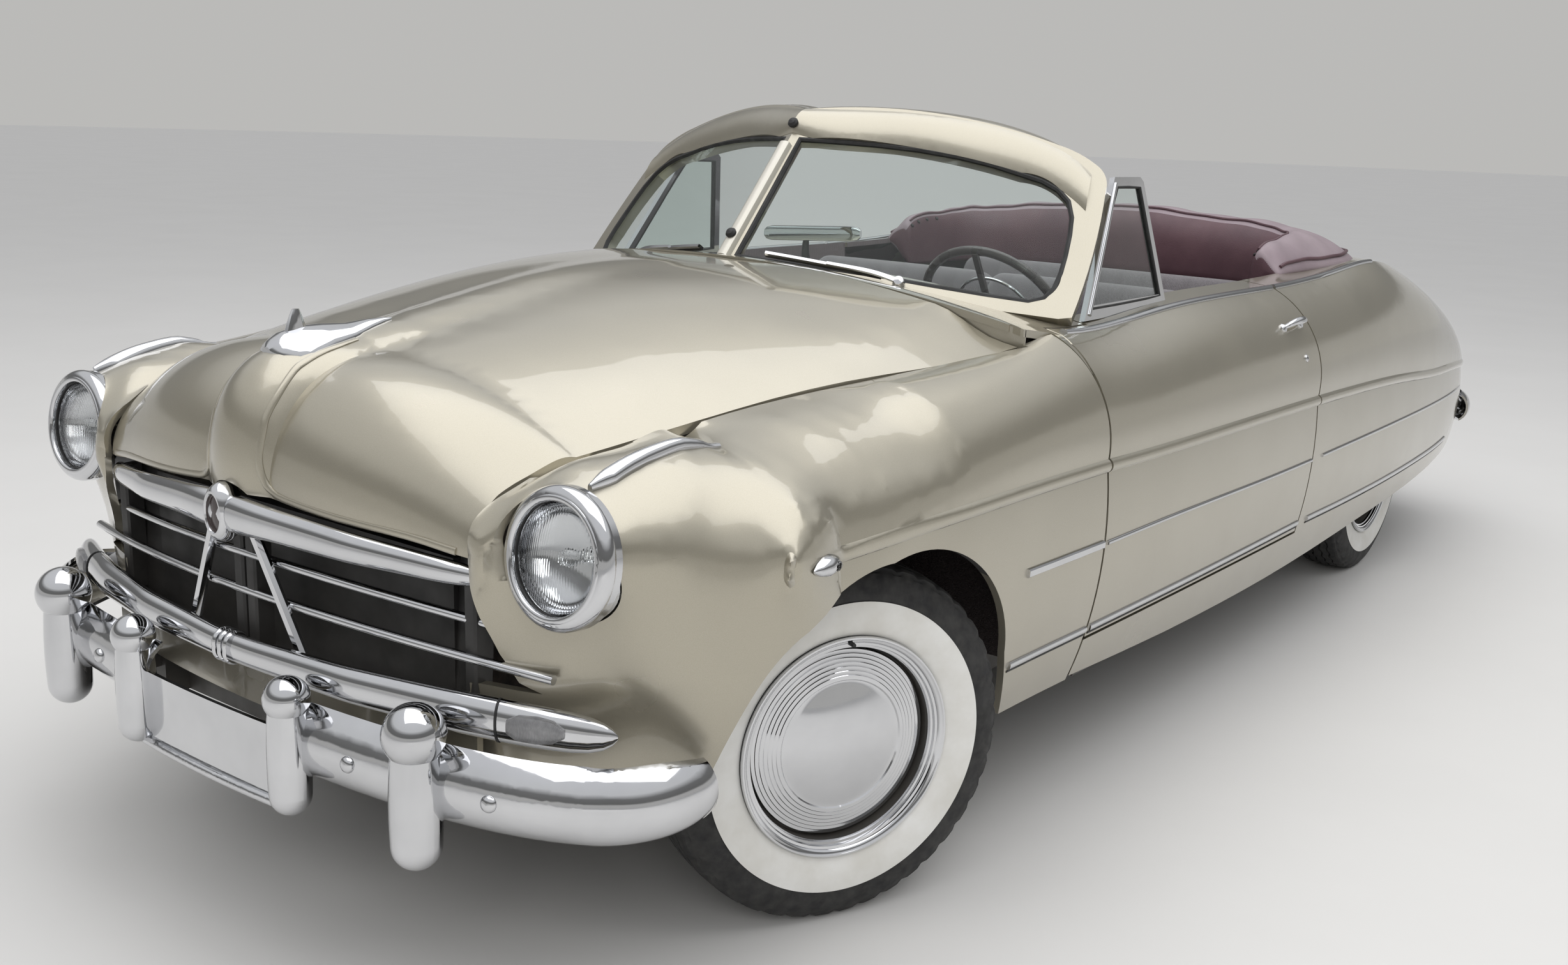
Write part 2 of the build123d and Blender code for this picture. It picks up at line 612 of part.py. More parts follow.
guard_rows = [(530, datum - 812, 316, 597, 52, 42), (235, datum - 838, 326, 574, 40, 36)]
pan_half = 215.0
plate_pan = Plane.XY.offset(330) * make_face(outline((-pan_half, front_face_y + 12), [
    ((0, front_face_y + 6), (pan_half, front_face_y + 12)),
    ((pan_half, front_face_y + 20),),
    ((0, front_face_y + 14), (-pan_half, front_face_y + 20)),
    ((-pan_half, front_face_y + 12),)]))
pan_rod = bow((235, -832, 332), (0, -842, 332), 10, 10)
half_bumper = bumper_bar(front_bar_rows, front_face_y, -1) - block(-10, 200, front_y, datum - 700, 300, 600)
for x, y, low, high, head, body in guard_rows:
    half_bumper = half_bumper + guard(x, y, low, high, head, body)
centre_pan = (extrude(plate_pan, amount=140) + pan_rod) & block(0, 300, front_y, datum, 300, 600)
half_bumper = half_bumper + centre_pan
front_bumper = half_bumper + mirrored(half_bumper)
save("front_bumper", front_bumper)
half_bumper = bumper_bar(rear_bar_rows, rear_face_y, 1) + guard(330, rear_face_y - 40, 350, 590, 46, 40)
rear_bumper = half_bumper + mirrored(half_bumper)
save("rear_bumper", rear_bumper)


# Wheels, turned about the X axis. Profiles are radius and distance outwards from the middle
def wheel_solids():
    """Tyre, then wheel disc with drum and dished cap, for a wheel whose outer side faces +X."""
    bead = rim_radius - 8
    tyre_section = Wire([
        Edge.make_three_point_arc((bead, 0, -64), (275, 0, -tyre_half_width), (326, 0, -80)),
        Edge.make_three_point_arc((326, 0, -80), (349, 0, -70), (tyre_radius - 4, 0, -52)),
        Edge.make_three_point_arc((tyre_radius - 4, 0, -52), (tyre_radius, 0, 0), (tyre_radius - 4, 0, 52)),
        Edge.make_three_point_arc((tyre_radius - 4, 0, 52), (349, 0, 70), (326, 0, 80)),
        Edge.make_three_point_arc((326, 0, 80), (275, 0, tyre_half_width), (bead, 0, 64)),
        Edge.make_line((bead, 0, 64), (bead, 0, -64))])
    upright = Plane(origin=(0, 0, 0), x_dir=(0, 0, 1), z_dir=(1, 0, 0))
    tyre = upright * revolve(make_face(tyre_section), Axis.Z, 360)
    disc_points = [(34, -24), (140, -24), (140, 6), (bead - 9, 6), (bead - 9, -78), (rim_radius, -78),
                   (rim_radius, -72), (bead - 1, -70), (bead - 1, 70), (rim_radius, 72), (rim_radius, 80),
                   (trim_radius, 84), ((trim_radius - 1, 91), (trim_radius - 9, 92)), (214, 88),
                   ((206, 84), (198, 72)), (192, 66), (190, 40), (187, 40), (cap_radius, 50),
                   (167, 54), (165, 58), (149, 60), (147, 64), (131, 66), (127, 63), (116, 65),
                   dome(116, 65, 17), (0, 12), (34, 12)]
    return tyre, turned(upright, disc_points)


wheel_tyre, wheel_disc = wheel_solids()
kingpin_x = front_track / 2 - kingpin_inset


def placed_wheel(solid, side, axle_y, half_track, turn):
    """A wheel solid on its axle; side is 1 on the left and -1 on the right."""
    if side > 0:
        body = solid
    else:
        body = mirrored(solid)
    body = Pos(side * half_track, axle_y, tyre_radius) * body
    if turn:
        axis = Axis((side * kingpin_x, axle_y, 0), (0, 0, 1))
        body = body.rotate(axis, -turn)
    return body


for place, axle_y, track, turn in (("front", front_axle, front_track, steer_angle),
                                   ("rear", rear_axle, rear_track, 0.0)):
    for side_name, side in (("left", 1), ("right", -1)):
        save(f"tyre_{place}_{side_name}", placed_wheel(wheel_tyre, side, axle_y, track / 2, turn))
        save(f"wheel_{place}_{side_name}", placed_wheel(wheel_disc, side, axle_y, track / 2, turn))

# Steering knuckles: spindle, upright and steering arm
knuckle_low = 256.0
knuckle_high = 462.0


def knuckle():
    spindle = Pos(kingpin_x + 28, front_axle, tyre_radius) * Rot(0, 90, 0) * Cylinder(30, 100)
    upright = Pos(kingpin_x, front_axle, (knuckle_low + knuckle_high) / 2)
    upright = upright * Cylinder(22, knuckle_high - knuckle_low)
    arm = bar([(kingpin_x, front_axle + 10, 285), (kingpin_x - 50, front_axle + 150, 285)], 11)
    return (spindle & block(0, kingpin_x + 55, front_axle - 100, front_axle + 100, 0, 700)) + upright + arm


left_knuckle = knuckle()
for side_name, side in (("left", 1), ("right", -1)):
    body = left_knuckle if side > 0 else mirrored(left_knuckle)
    body = body.rotate(Axis((side * kingpin_x, front_axle, 0), (0, 0, 1)), -steer_angle)
    save(f"knuckle_{side_name}", body)

# Front crossmember with upper and lower arms that reach the knuckles
arm_clear = 4.0
arm_end = kingpin_x
crossmember = block(-330, 330, front_axle - 90, front_axle + 90, 250, 330)
towers = block(270, 330, front_axle - 80, front_axle + 80, 330, 560)
lower_arm = bar([(300, front_axle - 70, 262), (arm_end, front_axle, knuckle_low - 20)], 14) \
    + bar([(300, front_axle + 70, 262), (arm_end, front_axle, knuckle_low - 20)], 14)
lower_eye = Pos(arm_end, front_axle, knuckle_low - 20) * Cylinder(28, 32)
upper_arm = bar([(300, front_axle - 60, 500), (arm_end, front_axle, knuckle_high + 20)], 12) \
    + bar([(300, front_axle + 60, 500), (arm_end, front_axle, knuckle_high + 20)], 12)
upper_eye = Pos(arm_end, front_axle, knuckle_high + 20) * Cylinder(26, 32)
side_gear = towers + lower_arm + lower_eye + upper_arm + upper_eye
side_gear = side_gear - Pos(arm_end, front_axle, (knuckle_low + knuckle_high) / 2) * Cylinder(
    34, knuckle_high - knuckle_low + 2 * arm_clear)
save("front_suspension", crossmember + side_gear + mirrored(side_gear))

# Rear axle with its differential, leaf springs and propeller shaft
axle_tube = Pos(0, rear_axle, tyre_radius) * Rot(0, 90, 0) * Cylinder(38, rear_track - 2 * 62)
stubs = Pos(0, rear_axle, tyre_radius) * Rot(0, 90, 0) * Cylinder(30, rear_track + 10)
differential = Pos(0, rear_axle, tyre_radius) * Sphere(138)
shaft = bar([(0, datum + 1034, 372), (0, rear_axle - 120, tyre_radius)], 38)
spring_x = 520.0
spring_half = 560.0
leaf = block(-30, 30, rear_axle - spring_half, rear_axle + spring_half, 0, 34)
rear_gear = axle_tube + stubs + differential + shaft
for side in (-1, 1):
    rear_gear = rear_gear + Pos(side * spring_x, 0, tyre_radius - 70) * leaf
    rear_gear = rear_gear + block(side * spring_x - 40, side * spring_x + 40, rear_axle - 60, rear_axle + 60,
                                  tyre_radius - 78, tyre_radius + 20)
save("rear_axle", rear_gear)

# Perimeter frame: side rails, cross rails and the horns that carry the bumpers
rail_x = 600.0
rail_low = 235.0
rail_high = 330.0
rail_end = datum + tail_s(4285)


def frame_rails():
    rail = block(rail_x - 45, rail_x + 45, datum + 520, rear_axle - spring_half, rail_low, rail_high)
    front_rail = block(370, 440, datum - 700, datum + 560, 340, 420)
    kick = block(370, rail_x + 45, datum + 480, datum + 600, rail_low, 420)
    rear_rail = block(395, 460, rear_axle - 700, rail_end, 425, 500)
    bracket = block(395, 460, rail_end - 55, rail_end, 394, 430)
    bracket = bracket + block(395, 460, rail_end - 55, rear_face_y - 30, 394, 412)
    rear_kick = block(395, rail_x + 45, rear_axle - 700, rear_axle - spring_half, rail_low, 500)
    hanger = block(455, spring_x + 30, rear_axle + spring_half, rear_axle + spring_half + 30, 286, 480)
    horn = block(385, 425, datum - 800, datum - 690, 398, 420)
    half = rail + front_rail + kick + rear_rail + bracket + rear_kick + hanger + horn
    rungs = block(-600, 600, datum + 1450, datum + 1530, rail_low, 270)
    rungs = rungs + block(-440, 440, rear_axle + 640, rear_axle + 690, 425, 490) - fuel_tank
    rungs = rungs + block(-400, 400, datum - 650, datum - 580, 340, 410)
    rails = half + mirrored(half) + rungs - front_bumper - rear_bumper
    return rails.solids().sort_by(SortBy.VOLUME)[-1]


fuel_tank = block(-330, 330, rear_axle + 560, rear_axle + 980, 373, 548)
save("fuel_tank", fuel_tank)
save("frame_rails", frame_rails())

# Floor tub: floor, tunnel, inner sills, firewall, rear seat riser, wheelhouses and trunk floor
floor_z = 340.0
floor_plate = 12.0
firewall_y = datum + 640.0


def floor_tub():
    tunnel_way = block(-118, 118, firewall_y - 10, datum + 2400, 200, 428)
    floor = block(-690, 690, firewall_y, datum + 2300, floor_z, floor_z + floor_plate)
    sill = block(690, 900, door_front + 20, datum + 2500, 300, door_sill_z - 30)
    firewall = block(-776, 776, firewall_y, firewall_y + 14, floor_z, 1200)
    riser = block(-690, 690, datum + 2290, datum + 2304, floor_z, 560)
    rear_floor = block(-690, 690, datum + 2290, datum + 2720, 548, 560)
    bulkhead = block(-600, 600, datum + 2706, datum + 2720, 548, 1040)
    trunk_floor = block(-560, 560, datum + 2706, datum + tail_s(4200), 548, 560)
    tunnel = block(-130, 130, firewall_y, datum + 2300, floor_z, 440)
    wheelhouse = block(560, 574, rear_axle - 480, rear_axle + 480, 548, 800) \
        + block(560, 900, rear_axle - 480, rear_axle + 480, 786, 800)
    half = sill + wheelhouse
    tub = floor + tunnel + firewall + riser + rear_floor + bulkhead + trunk_floor + half + mirrored(half)
    tub = tub - tunnel_way
    return tub & hull_inside


save("floor_tub", floor_tub())

# Engine with its gearbox as one plain mass, exhaust and fuel tank
engine = block(-190, 190, datum - 380, datum + 560, 330, 860)
gearbox = block(-85, 85, datum + 560, datum + 990, 335, 425)
save("engine_block", engine + gearbox)
pipe_x = 330.0
pipe = bar([(-230, datum + 190, 305), (-pipe_x, datum + 700, 300), (-pipe_x, datum + 2560, 300),
            (-pipe_x, datum + 2880, 455), (-pipe_x, rear_axle + 150, 455), (-345, rear_axle + 300, 385),
            (-370, rear_axle + 480, 345), (-420, overall_length / 2 - 300, 345),
            (-500, overall_length / 2 - 75, 352)], 22)
silencer = Pos(-pipe_x, datum + 1900, 292) * Rot(90, 0, 0) * Cylinder(42, 520)
exhaust = pipe + silencer
for y, low, high in ((datum + 1000, 300, floor_z), (datum + 2250, 300, floor_z), (rear_axle + 100, 455, 548)):
    exhaust = exhaust + block(-pipe_x - 10, -pipe_x + 10, y, y + 12, low, high)
exhaust = exhaust + block(-393, -381, rear_axle + 700, rear_axle + 712, 350, 548)
save("exhaust", exhaust)


# Seats, plain closed shapes
def seat(half, y0, y1, cushion_z, back_z, cushion_low, back_run, lean):
    """Bench seat: side outline with rounded edges, cut by a front outline with rounded shoulders."""
    rear = y1 + lean
    side = outline((half, y0, cushion_low), [
        ((half, y1 + 40, cushion_low),),
        ((half, rear + 30, back_z - 70),),
        ((half, rear + 18, back_z - 14), (half, rear - 40, back_z)),
        ((half, rear - back_run + 22, back_z - 12), (half, rear - back_run, back_z - 70)),
        ((half, y1 - back_run + 20, cushion_z + 20),),
        ((half, (y0 + y1 - back_run) / 2, cushion_z + 12), (half, y0 + 60, cushion_z)),
        ((half, y0 + 10, cushion_z - 20), (half, y0, cushion_z - 70)),
        ((half, y0, cushion_low),)])
    body = extrude(make_face(side), amount=2 * half, dir=(-1, 0, 0))
    front = outline((-half, y0 - 10, cushion_low), [
        ((half, y0 - 10, cushion_low),),
        ((half, y0 - 10, back_z - 90),),
        ((half - 18, y0 - 10, back_z - 20), (half - 90, y0 - 10, back_z - 4)),
        ((0, y0 - 10, back_z + 4), (-half + 90, y0 - 10, back_z - 4)),
        ((-half + 18, y0 - 10, back_z - 20), (-half, y0 - 10, back_z - 90)),
        ((-half, y0 - 10, cushion_low),)])
    return body & extrude(make_face(front), amount=900, dir=(0, 1, 0))


front_seat = seat(640, datum + 1330, datum + 1840, 640, 1070, 450, 170, 70)
front_seat = front_seat - block(-5, 5, datum + 1660, datum + 2000, 660, 1100)
front_seat_base = block(-560, 560, datum + 1400, datum + 1820, floor_z + floor_plate, 450) \
    - block(-132, 132, datum + 1300, datum + 1900, 300, 442)
save("front_seat", front_seat + front_seat_base)
save("rear_seat", seat(560, datum + 2235, datum + 2600, 690, 1030, 560, 140, 60))

# Dashboard, steering column and steering wheel
dash_half = 680.0
dash_face = outline((-dash_half, datum + 905, 900), [
    ((-dash_half, datum + 975, 862),),
    ((-dash_half, datum + 1030, 890), (-dash_half, datum + 1038, 960)),
    ((-dash_half, datum + 1032, 1030), (-dash_half, datum + 985, 1062)),
    ((-dash_half, datum + 950, 1072),),
    ((-dash_half, datum + 950, 1130),),
    ((-dash_half, datum + 915, 1130),),
    ((-dash_half, datum + 905, 900),)])
dash = extrude(make_face(dash_face), amount=2 * dash_half, dir=(1, 0, 0))
save("dashboard", dash & hull_inside)
steer_x = 285.0
steer_centre = Vector(steer_x, datum + 1350, 1000)
column_pitch = 32.0
column_dir = Vector(0, cos(radians(column_pitch)), sin(radians(column_pitch)))
steering_wheel_radius = 205.0
wheel_plane = Plane(origin=steer_centre, x_dir=(1, 0, 0), z_dir=column_dir)
rim = wheel_plane * Torus(steering_wheel_radius, 12)
hub = wheel_plane * Pos(0, 0, -30) * Cylinder(34, 50)
spokes = hub + rim
for turn in (0, 180, 270):
    spoke = wheel_plane * Rot(0, 0, turn) * Pos(steering_wheel_radius / 2, 0, -12) \
        * Box(steering_wheel_radius - 4, 16, 10)
    spokes = spokes + spoke
save("steering_wheel", spokes)
column_foot = steer_centre - column_dir * 860
column = Solid.make_cylinder(24, 800, Plane(origin=column_foot, z_dir=column_dir))
column = column & block(0, 600, firewall_y + 14, datum + 1600, 300, 1300)
save("steering_column", column)


# Folded top under its cover: a rounded roll that runs behind and beside the rear seat. Columns:
# inner edge x and station, outer edge x and station, height of the crest, height of the outer edge
boot_rows = [
    (612, 2296, 704, 2290, 1150, 1088), (604, 2370, 720, 2370, 1170, 1092),
    (596, 2480, 738, 2510, 1180, 1094), (582, 2580, 752, 2680, 1186, 1095),
    (545, 2640, 750, 2850, 1192, 1094), (480, 2675, 700, 2970, 1200, 1093),
    (390, 2692, 560, 3028, 1210, 1095), (270, 2702, 385, 3054, 1219, 1102),
    (140, 2708, 200, 3064, 1228, 1107), (0, 2710, 0, 3067, 1232, 1110)]
boot_turn_row = 5
boot_base_z = 1046.0


def boot_wire(row):
    """Closed section from the inner to the outer edge of the roll."""
    ix, i_s, ox, o_s, crest, edge = row

    def at(across, z):
        return (ix + (ox - ix) * across, datum + i_s + (o_s - i_s) * across, z)

    drop = crest - edge
    return outline(at(0, boot_base_z), [
        (at(0.0, crest - 0.5 * drop),),
        (at(0.1, crest - 0.12 * drop), at(0.38, crest)),
        (at(0.8, crest - 0.42 * drop), at(1, edge)),
        (at(1, boot_base_z),),
        (at(0, boot_base_z),)])


def top_boot():
    half = joined_loft([boot_wire(row) for row in boot_rows], boot_turn_row)
    return (half + mirrored(half)) - (hull - cockpit)


save("top_boot", top_boot())

# Tail lamps and side trim
tail_plane = Plane(origin=(700, datum + tail_s(4235), 640), z_dir=(0.45, 1, 0.1))
tail_lamp = turned(tail_plane, [(0, -40), (48, -40), (50, 0), (36, 22), (0, 30)])
tail_lamp = tail_lamp - hull
save("tail_lamps", Compound([*tail_lamp.solids(), *mirrored(tail_lamp).solids()]))
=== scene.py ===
"""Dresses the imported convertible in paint, chrome, glass, rubber and trim. Metres, in CAD frame."""
import math

import bmesh
import bpy
from mathutils import Matrix, Vector
from mathutils.bvhtree import BVHTree


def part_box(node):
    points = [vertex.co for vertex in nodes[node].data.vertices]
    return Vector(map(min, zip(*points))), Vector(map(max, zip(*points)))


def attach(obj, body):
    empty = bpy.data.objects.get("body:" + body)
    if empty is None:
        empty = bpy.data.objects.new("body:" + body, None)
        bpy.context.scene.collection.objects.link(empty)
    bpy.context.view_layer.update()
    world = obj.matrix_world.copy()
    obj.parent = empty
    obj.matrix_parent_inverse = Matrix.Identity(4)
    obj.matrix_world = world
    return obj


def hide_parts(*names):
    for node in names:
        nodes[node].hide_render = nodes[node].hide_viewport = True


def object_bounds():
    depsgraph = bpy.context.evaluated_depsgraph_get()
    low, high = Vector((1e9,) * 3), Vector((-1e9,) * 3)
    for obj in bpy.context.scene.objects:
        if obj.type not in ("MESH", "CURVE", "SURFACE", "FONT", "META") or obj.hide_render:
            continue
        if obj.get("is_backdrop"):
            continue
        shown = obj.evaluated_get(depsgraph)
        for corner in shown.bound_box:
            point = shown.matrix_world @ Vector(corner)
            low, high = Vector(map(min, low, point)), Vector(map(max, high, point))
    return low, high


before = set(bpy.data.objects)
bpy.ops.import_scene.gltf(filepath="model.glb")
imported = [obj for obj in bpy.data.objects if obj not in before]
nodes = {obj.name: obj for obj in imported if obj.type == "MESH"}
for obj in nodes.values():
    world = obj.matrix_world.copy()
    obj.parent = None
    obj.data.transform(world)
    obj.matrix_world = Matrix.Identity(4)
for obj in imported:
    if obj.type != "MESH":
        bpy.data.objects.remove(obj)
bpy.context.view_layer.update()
scene = bpy.context.scene

# Stations run backwards from the parked left front wheel, which stands at this y
datum = -1.765357
front_axle = -1.740
rear_axle = 1.410
axle_height = 0.356
kingpin_x = 0.6885
parked_steer = math.radians(25.0)

sides = (("left", 1.0), ("right", -1.0))
up = Vector((0, 0, 1))
forwards = Vector((0, -1, 0))
half_turn = math.pi
full_turn = 2 * math.pi
sharp_angle = math.radians(32)
merge_reach = 1e-6
pole = 0.0002           # radius of a profile's row that closes on its axis
side_clear = 1.3        # x, z and y from which lines of sight start, outside the car
top_clear = 1.5
end_clear = 3.4


# Materials
def principled(material):
    return material.node_tree.nodes["Principled BSDF"]


def shader(name, color, metallic=0.0, rough=0.5, coat=0.0, coat_rough=0.03, ior=1.5, clear=0.0):
    """A Principled material with its plain numbers on the shader's own sockets."""
    made = bpy.data.materials.new(name)
    made.use_nodes = True
    for key, value in (("Base Color", (*color, 1.0)), ("Metallic", metallic), ("Roughness", rough),
                       ("Coat Weight", coat), ("Coat Roughness", coat_rough), ("IOR", ior),
                       ("Transmission Weight", clear)):
        principled(made).inputs[key].default_value = value
    made.diffuse_color = (*color, 1.0)
    return made


def node(material, kind, **values):
    made = material.node_tree.nodes.new(kind)
    for key, value in values.items():
        if key in made.inputs:
            made.inputs[key].default_value = value
        else:
            setattr(made, key, value)
    return made


def link(material, a, a_out, b, b_in):
    material.node_tree.links.new(a.outputs[a_out], b.inputs[b_in])


def textured(material, kind, **values):
    """A node that reads the object's own coordinates."""
    place = node(material, "ShaderNodeTexCoord")
    made = node(material, kind, **values)
    link(material, place, "Object", made, "Vector")
    return made


def spread(material, source, key, low_in, high_in, low_out, high_out):
    """Maps one range of numbers to another."""
    made = node(material, "ShaderNodeMapRange", **{
        "From Min": low_in, "From Max": high_in, "To Min": low_out, "To Max": high_out})
    link(material, source, key, made, "Value")
    return made


def mottle(material, scale, low, high, detail=4.0):
    """Base colour that drifts between two tones."""
    noise = textured(material, "ShaderNodeTexNoise", Scale=scale, Detail=detail, Roughness=0.6)
    ramp = node(material, "ShaderNodeValToRGB")
    for stop, position, tone in zip(ramp.color_ramp.elements, (0.32, 0.68), (low, high)):
        stop.position, stop.color = position, (*tone, 1)
    link(material, noise, "Fac", ramp, "Fac")
    link(material, ramp, "Color", principled(material), "Base Color")
    return ramp


def gloss(material, scale, low, high, detail=3.0):
    """Roughness that drifts between two levels."""
    noise = textured(material, "ShaderNodeTexNoise", Scale=scale, Detail=detail)
    level = spread(material, noise, "Fac", 0.3, 0.7, low, high)
    link(material, level, "Result", principled(material), "Roughness")


def grain(material, scale, strength, depth, kind="noise"):
    """Bump of fine grain: noise, cells, or waves along X or Y."""
    if kind == "noise":
        texture, key = textured(material, "ShaderNodeTexNoise", Scale=scale, Detail=3.0), "Fac"
    elif kind == "cells":
        texture, key = textured(material, "ShaderNodeTexVoronoi", Scale=scale), "Distance"
    else:
        texture, key = textured(material, "ShaderNodeTexWave", Scale=scale), "Fac"
        texture.bands_direction = kind
    bump = node(material, "ShaderNodeBump", Strength=strength, Distance=depth)
    link(material, texture, key, bump, "Height")
    link(material, bump, "Normal", principled(material), "Normal")


def dusty(material, ramp, dust, low, high):
    """Road dust that thickens towards the ground, over a colour from mottle."""
    place = textured(material, "ShaderNodeSeparateXYZ")
    height = spread(material, place, "Z", low, high, 0.4, 0.0)
    patches = textured(material, "ShaderNodeTexNoise", Scale=9.0, Detail=5.0)
    share = node(material, "ShaderNodeMath", operation="MULTIPLY")
    mix = node(material, "ShaderNodeMix", data_type="RGBA")
    mix.inputs["B"].default_value = (*dust, 1)
    link(material, height, "Result", share, 0)
    link(material, patches, "Fac", share, 1)
    link(material, share, "Value", mix, "Factor")
    link(material, ramp, "Color", mix, "A")
    link(material, mix, "Result", principled(material), "Base Color")


def finish(name, color, tones=None, level=None, bump=None, dust=None, **look):
    """A shader with the rows that mottle, gloss, grain and dusty take."""
    made = shader(name, color, **look)
    ramp = mottle(made, *tones) if tones else None
    if dust:
        dusty(made, ramp, *dust)
    if level:
        gloss(made, *level)
    if bump:
        grain(made, *bump)
    return made


# Metallic enamel under a clear coat, with flake, faint orange peel and dust low down
paint = finish(
    "champagne_enamel", (0.405, 0.372, 0.292),
    (1500.0, (0.405, 0.372, 0.292), (0.475, 0.442, 0.358), 1.0), (3.5, 0.27, 0.36),
    (260.0, 0.018, 0.0006), ((0.30, 0.26, 0.20), 0.25, 0.62),
    metallic=0.72, rough=0.32, coat=1.0, coat_rough=0.035)
# Paler, less metallic copy of the champagne paint for the middle post's strip: a painted highlight,
# the sky's reflection on the post
sky_lit_paint = finish(
    "sky_lit_enamel", (0.66, 0.63, 0.55), (900.0, (0.62, 0.59, 0.51), (0.69, 0.665, 0.585)),
    (4.0, 0.26, 0.36), metallic=0.25, rough=0.3, coat=1.0, coat_rough=0.04)
chrome = finish(
    "chrome_plate", (0.66, 0.665, 0.68), (5.0, (0.62, 0.625, 0.64), (0.70, 0.705, 0.72)),
    (26.0, 0.035, 0.10, 6.0), (30.0, 0.02, 0.0015), metallic=1.0, rough=0.06)
glass = finish(
    "flat_glass", (0.86, 0.93, 0.905), None, (12.0, 0.0, 0.02), rough=0.0, ior=1.22, clear=1.0)
lens_glass = finish(
    "fluted_glass", (0.95, 0.96, 0.96), None, (30.0, 0.01, 0.05), (60.0, 0.12, 0.002, "X"),
    rough=0.03, ior=1.3, clear=1.0)
parking_glass = finish(
    "grey_lamp_glass", (0.20, 0.20, 0.205), (40.0, (0.15, 0.15, 0.155), (0.26, 0.26, 0.265)),
    None, (130.0, 0.4, 0.0015, "X"), rough=0.12, coat=0.6)
red_lens = finish(
    "ruby_glass", (0.35, 0.008, 0.008), (60.0, (0.28, 0.006, 0.006), (0.42, 0.012, 0.010)),
    None, (220.0, 0.5, 0.001, "cells"), rough=0.08, coat=0.8, clear=0.35)
rubber = finish(
    "tyre_rubber", (0.022, 0.022, 0.023), (40.0, (0.016, 0.016, 0.017), (0.038, 0.037, 0.035)),
    (30.0, 0.6, 0.85), (700.0, 0.25, 0.0004), rough=0.7)
white_rubber = finish(
    "white_sidewall", (0.78, 0.77, 0.73), (9.0, (0.70, 0.685, 0.64), (0.82, 0.815, 0.79)),
    (20.0, 0.48, 0.66), (500.0, 0.15, 0.0003), rough=0.55)
iron = finish(
    "dark_iron", (0.09, 0.085, 0.08), (22.0, (0.05, 0.047, 0.045), (0.15, 0.12, 0.10)),
    (20.0, 0.45, 0.8), (180.0, 0.5, 0.0008), metallic=0.7, rough=0.6)
chassis_black = finish(
    "chassis_black", (0.02, 0.02, 0.021), (8.0, (0.014, 0.014, 0.015), (0.032, 0.031, 0.030)),
    (14.0, 0.38, 0.65), (240.0, 0.2, 0.0006), ((0.16, 0.14, 0.11), 0.2, 0.8), rough=0.5)
seat_cloth = finish(
    "grey_cord_cloth", (0.19, 0.175, 0.185),
    (260.0, (0.145, 0.132, 0.140), (0.235, 0.218, 0.228), 6.0), None, (90.0, 0.6, 0.002, "X"),
    rough=0.85)
principled(seat_cloth).inputs["Sheen Weight"].default_value = 0.35
principled(seat_cloth).inputs["Sheen Roughness"].default_value = 0.4
dash_paint = finish(
    "dash_enamel", (0.20, 0.175, 0.16), (300.0, (0.165, 0.145, 0.13), (0.24, 0.21, 0.19)),
    (6.0, 0.3, 0.45), metallic=0.2, rough=0.35, coat=0.7, coat_rough=0.06)
dark_plastic = finish(
    "dark_plastic", (0.055, 0.042, 0.042), (20.0, (0.045, 0.034, 0.034), (0.07, 0.054, 0.052)),
    (20.0, 0.18, 0.34), rough=0.25, coat=0.4)
maroon = finish(
    "maroon_coated_cloth", (0.105, 0.052, 0.064),
    (5.0, (0.085, 0.042, 0.053), (0.130, 0.068, 0.080), 6.0), (12.0, 0.36, 0.56),
    (420.0, 0.45, 0.0007, "cells"), rough=0.5)
gasket = finish(
    "gasket_rubber", (0.02, 0.02, 0.02), (60.0, (0.014, 0.014, 0.014), (0.03, 0.03, 0.03)),
    (30.0, 0.45, 0.7), rough=0.6)
door_card = finish(
    "door_card_cloth", (0.20, 0.165, 0.17),
    (140.0, (0.155, 0.125, 0.13), (0.245, 0.205, 0.21), 6.0), None, (60.0, 0.7, 0.002, "Y"),
    rough=0.8)
carpet = finish(
    "loop_carpet", (0.055, 0.045, 0.045),
    (420.0, (0.035, 0.028, 0.028), (0.085, 0.070, 0.068), 5.0), None,
    (330.0, 0.9, 0.003, "cells"), rough=0.95)
# Paler copy of the boot's maroon cloth for its top: painted light from the sky on the faces that look
# up
boot_lit_cloth = finish(
    "boot_cloth_painted_lit", (0.30, 0.235, 0.260),
    (4.0, (0.26, 0.200, 0.224), (0.345, 0.278, 0.302), 6.0), (12.0, 0.34, 0.52),
    (420.0, 0.45, 0.0007, "cells"), rough=0.48)
plate_paint = finish(
    "blank_plate_enamel", (0.42, 0.42, 0.40), (12.0, (0.38, 0.38, 0.36), (0.46, 0.46, 0.44)),
    (16.0, 0.3, 0.5), rough=0.4)
dial_face = finish(
    "dial_face", (0.10, 0.095, 0.085), (30.0, (0.085, 0.08, 0.072), (0.12, 0.115, 0.10)),
    (20.0, 0.25, 0.4), rough=0.35)


def coat_node(name, material):
    mesh = nodes[name].data
    mesh.materials.clear()
    mesh.materials.append(material)


for name in nodes:
    coat_node(name, paint)
for material, names in (
        (chassis_black, ("front_suspension", "rear_axle", "frame_rails", "floor_tub", "fuel_tank",
                         "radiator")),
        (iron, ("engine_block", "exhaust", "knuckle_left", "knuckle_right")),
        (chrome, ("front_bumper", "rear_bumper", "headlight_bezels", "vent_window_left",
                  "vent_window_right")),
        (glass, ("windshield_glass",)),
        (red_lens, ("tail_lamps",)),
        (dash_paint, ("dashboard",)),
        (dark_plastic, ("steering_wheel", "steering_column"))):
    for name in names:
        coat_node(name, material)


# Building helpers
def soften(work):
    """Smooth faces, with hard edges where they fold sharply."""
    for face in work.faces:
        face.smooth = True
    for edge in work.edges:
        edge.smooth = len(edge.link_faces) != 2 or edge.calc_face_angle(0.0) < sharp_angle


